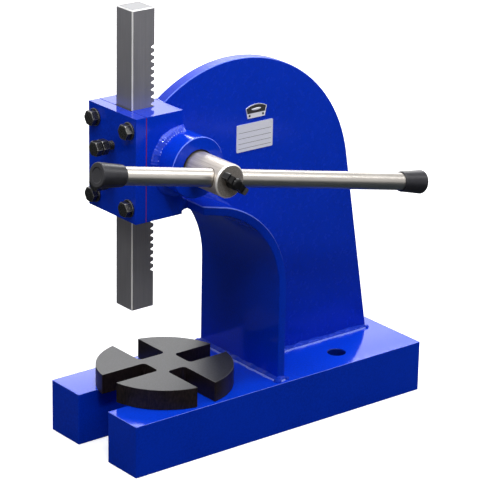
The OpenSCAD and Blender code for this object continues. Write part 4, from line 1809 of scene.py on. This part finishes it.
@dataclass
class Studio:
    """The pale floor, the soft light and the camera. Its lengths are metres."""

    azimuth: float = 51.300401
    elevation: float = 20.07672
    roll: float = 1.030997
    lens: float = 185.959495
    sensor: float = 36.0
    clip_end: float = 100.0
    aim: Colour = (-0.050637, 0.037405, 0.189039)
    distance: float = 2.919238
    floor_side: float = 16.0
    ambient: float = 0.02
    lamps: tuple[Softbox, ...] = (
        Softbox("top_softbox", (0.2, -0.3, 2.3), (0.0, 0.0, 0.2), (2.6, 2.6), 2.5),
        Softbox("front_top_softbox", (0.5, -1.0, 1.9), (0.0, 0.0, 0.2), (1.0, 1.0), 1.9),
        Softbox("front_low_softbox", (0.0, -1.8, 0.6), (0.0, 0.0, 0.25), (1.0, 0.8), 0.8),
        Softbox("right_softbox", (1.9, 0.1, 1.3), (0.0, 0.0, 0.25), (1.0, 1.0), 1.2),
        Softbox("right_back_softbox", (0.75, 0.55, 1.15), (0.0, 0.0, 0.3), (0.5, 0.5), 2.6),
        Softbox("back_softbox", (-1.9, 1.5, 1.25), (0.0, 0.0, 0.25), (2.2, 1.8), 1.7),
        Softbox("back_high_softbox", (-1.75, 1.75, 2.0), (0.0, 0.0, 0.1), (1.6, 0.7), 8.8),
        Softbox("rim_strip", (0.755, 1.15, 1.5), (0.08, 0.0, 0.06), (0.3, 0.9), 6.2),
        Softbox("glint_lamp", (0.58, -0.44, 0.99), (0.0, -0.05, 0.3), (0.1, 0.1), 60.0),
    )
    paper: Colour = (0.92, 0.92, 0.92)
    bounce: Colour = (0.24, 0.21, 0.175)
    under: Colour = (0.032, 0.04, 0.048)
    seen_reach: Span = (0.5, 1.6)
    seen_lift: Span = (0.45, 0.9)
    gloss_reach: Span = (1.5, 4.0)
    gloss_lift: Span = (0.0, 0.9)

    def camera(self) -> None:
        """Sets the camera where the photograph was taken from."""
        az, el, roll = (math.radians(a) for a in (self.azimuth, self.elevation, self.roll))
        back = Vector((math.sin(az) * math.cos(el), -math.cos(az) * math.cos(el), math.sin(el)))
        right = (-back).cross(Z_AXIS).normalized()
        up = right.cross(-back)
        across = math.cos(roll) * right + math.sin(roll) * up
        above = -math.sin(roll) * right + math.cos(roll) * up
        data = bpy.data.cameras.new("photograph")
        data.lens = self.lens
        data.sensor_width = self.sensor
        data.clip_end = self.clip_end
        camera = bpy.data.objects.new("photograph", data)
        turn = Matrix((across, above, back)).transposed().to_4x4()
        camera.matrix_world = Matrix.Translation(Vector(self.aim) + back * self.distance) @ turn
        bpy.context.scene.collection.objects.link(camera)
        bpy.context.scene.camera = camera

    def world(self) -> None:
        """Makes a white surround that lights the object more softly than it shows."""
        world = bpy.data.worlds.new("white_surround")
        world.use_nodes = True
        nodes = Nodes(world.node_tree)
        rays = nodes.node("LightPath", {}).outputs
        kinds = ("Is Camera Ray", "Is Glossy Ray", "Is Transmission Ray")
        seen = nodes.most(*(rays[kind] for kind in kinds))
        glow = nodes.node("Background", {"Strength": nodes.ramp(seen, UNIT, self.ambient, 1.0)})
        nodes.node("OutputWorld", {"Surface": glow.outputs["Background"]})
        bpy.context.scene.world = world

    def floor(self) -> None:
        """Lays the pale floor, which keeps the object's shadow."""
        mesh = bmesh.new()
        bmesh.ops.create_grid(mesh, x_segments=2, y_segments=2, size=self.floor_side / 2.0)
        data = bpy.data.meshes.new("studio_floor")
        mesh.to_mesh(data)
        mesh.free()
        floor = bpy.data.objects.new("studio_floor", data)
        bpy.context.scene.collection.objects.link(floor)
        data.materials.append(self.floor_material())

    def floor_material(self) -> bpy.types.Material:
        """Pale paper: white to the camera, and to gloss and glass from some way off. Nearer the object,
        it is darker to gloss and glass, as painted shade round the object.

        Returns:
            The material.
        """
        shader = Shader("pale_floor")
        rays = shader.node("LightPath", {}).outputs
        camera, gloss, glass = (rays[f"Is {kind} Ray"] for kind in ("Camera", "Glossy", "Transmission"))
        far = shader.node("VectorMath", {})
        far.operation = "LENGTH"
        shader.feed(far.inputs[0], shader.place)
        shown = shader.ramp(far.outputs["Value"], self.seen_reach, *self.seen_lift)
        # Painted shade: the floor that gloss and glass see stays dark near the object and lifts further
        # off.
        mirrored = shader.ramp(far.outputs["Value"], self.gloss_reach, *self.gloss_lift)
        lift = shader.most(
            shader.math("MULTIPLY", shown, camera),
            shader.math("MULTIPLY", mirrored, gloss),
            shader.math("MULTIPLY", mirrored, glass),
        )
        # Painted shade: gloss rays see the dark under tone.
        low = shader.blend(gloss, self.bounce, self.under)
        shader.put({
            "Base Color": shader.blend(camera, low, self.paper),
            "Roughness": 1.0,
            "Specular IOR Level": 0.0,
            "Emission Color": EVEN,
            "Emission Strength": lift,
        })
        return shader.material

    def build(self) -> None:
        """Sets up camera, surround, floor and lamps."""
        self.camera()
        self.world()
        self.floor()
        for lamp in self.lamps:
            lamp.hang()
        bpy.context.scene.view_settings.view_transform = "Standard"


def main() -> None:
    """Builds the studio and every sub-assembly in order."""
    logging.basicConfig(level=logging.INFO, format="%(name)s: %(message)s")
    Studio().build()
    pad = KeptPart(Body.PAD, "clamp_pad", FINISH.brass)
    pivot = KeptPart(Body.FRAME, "table_pivot", FINISH.bar)
    assemblies = (
        PaintedFrame(), Welds(), CoverFasteners(), WebPlates(), PinionDrive(), HandLever(),
        pad, WingScrew(), Ram(), ArborTable(), pivot,
    )
    for assembly in assemblies:
        assembly.build()


if __name__ == "__main__":
    main()
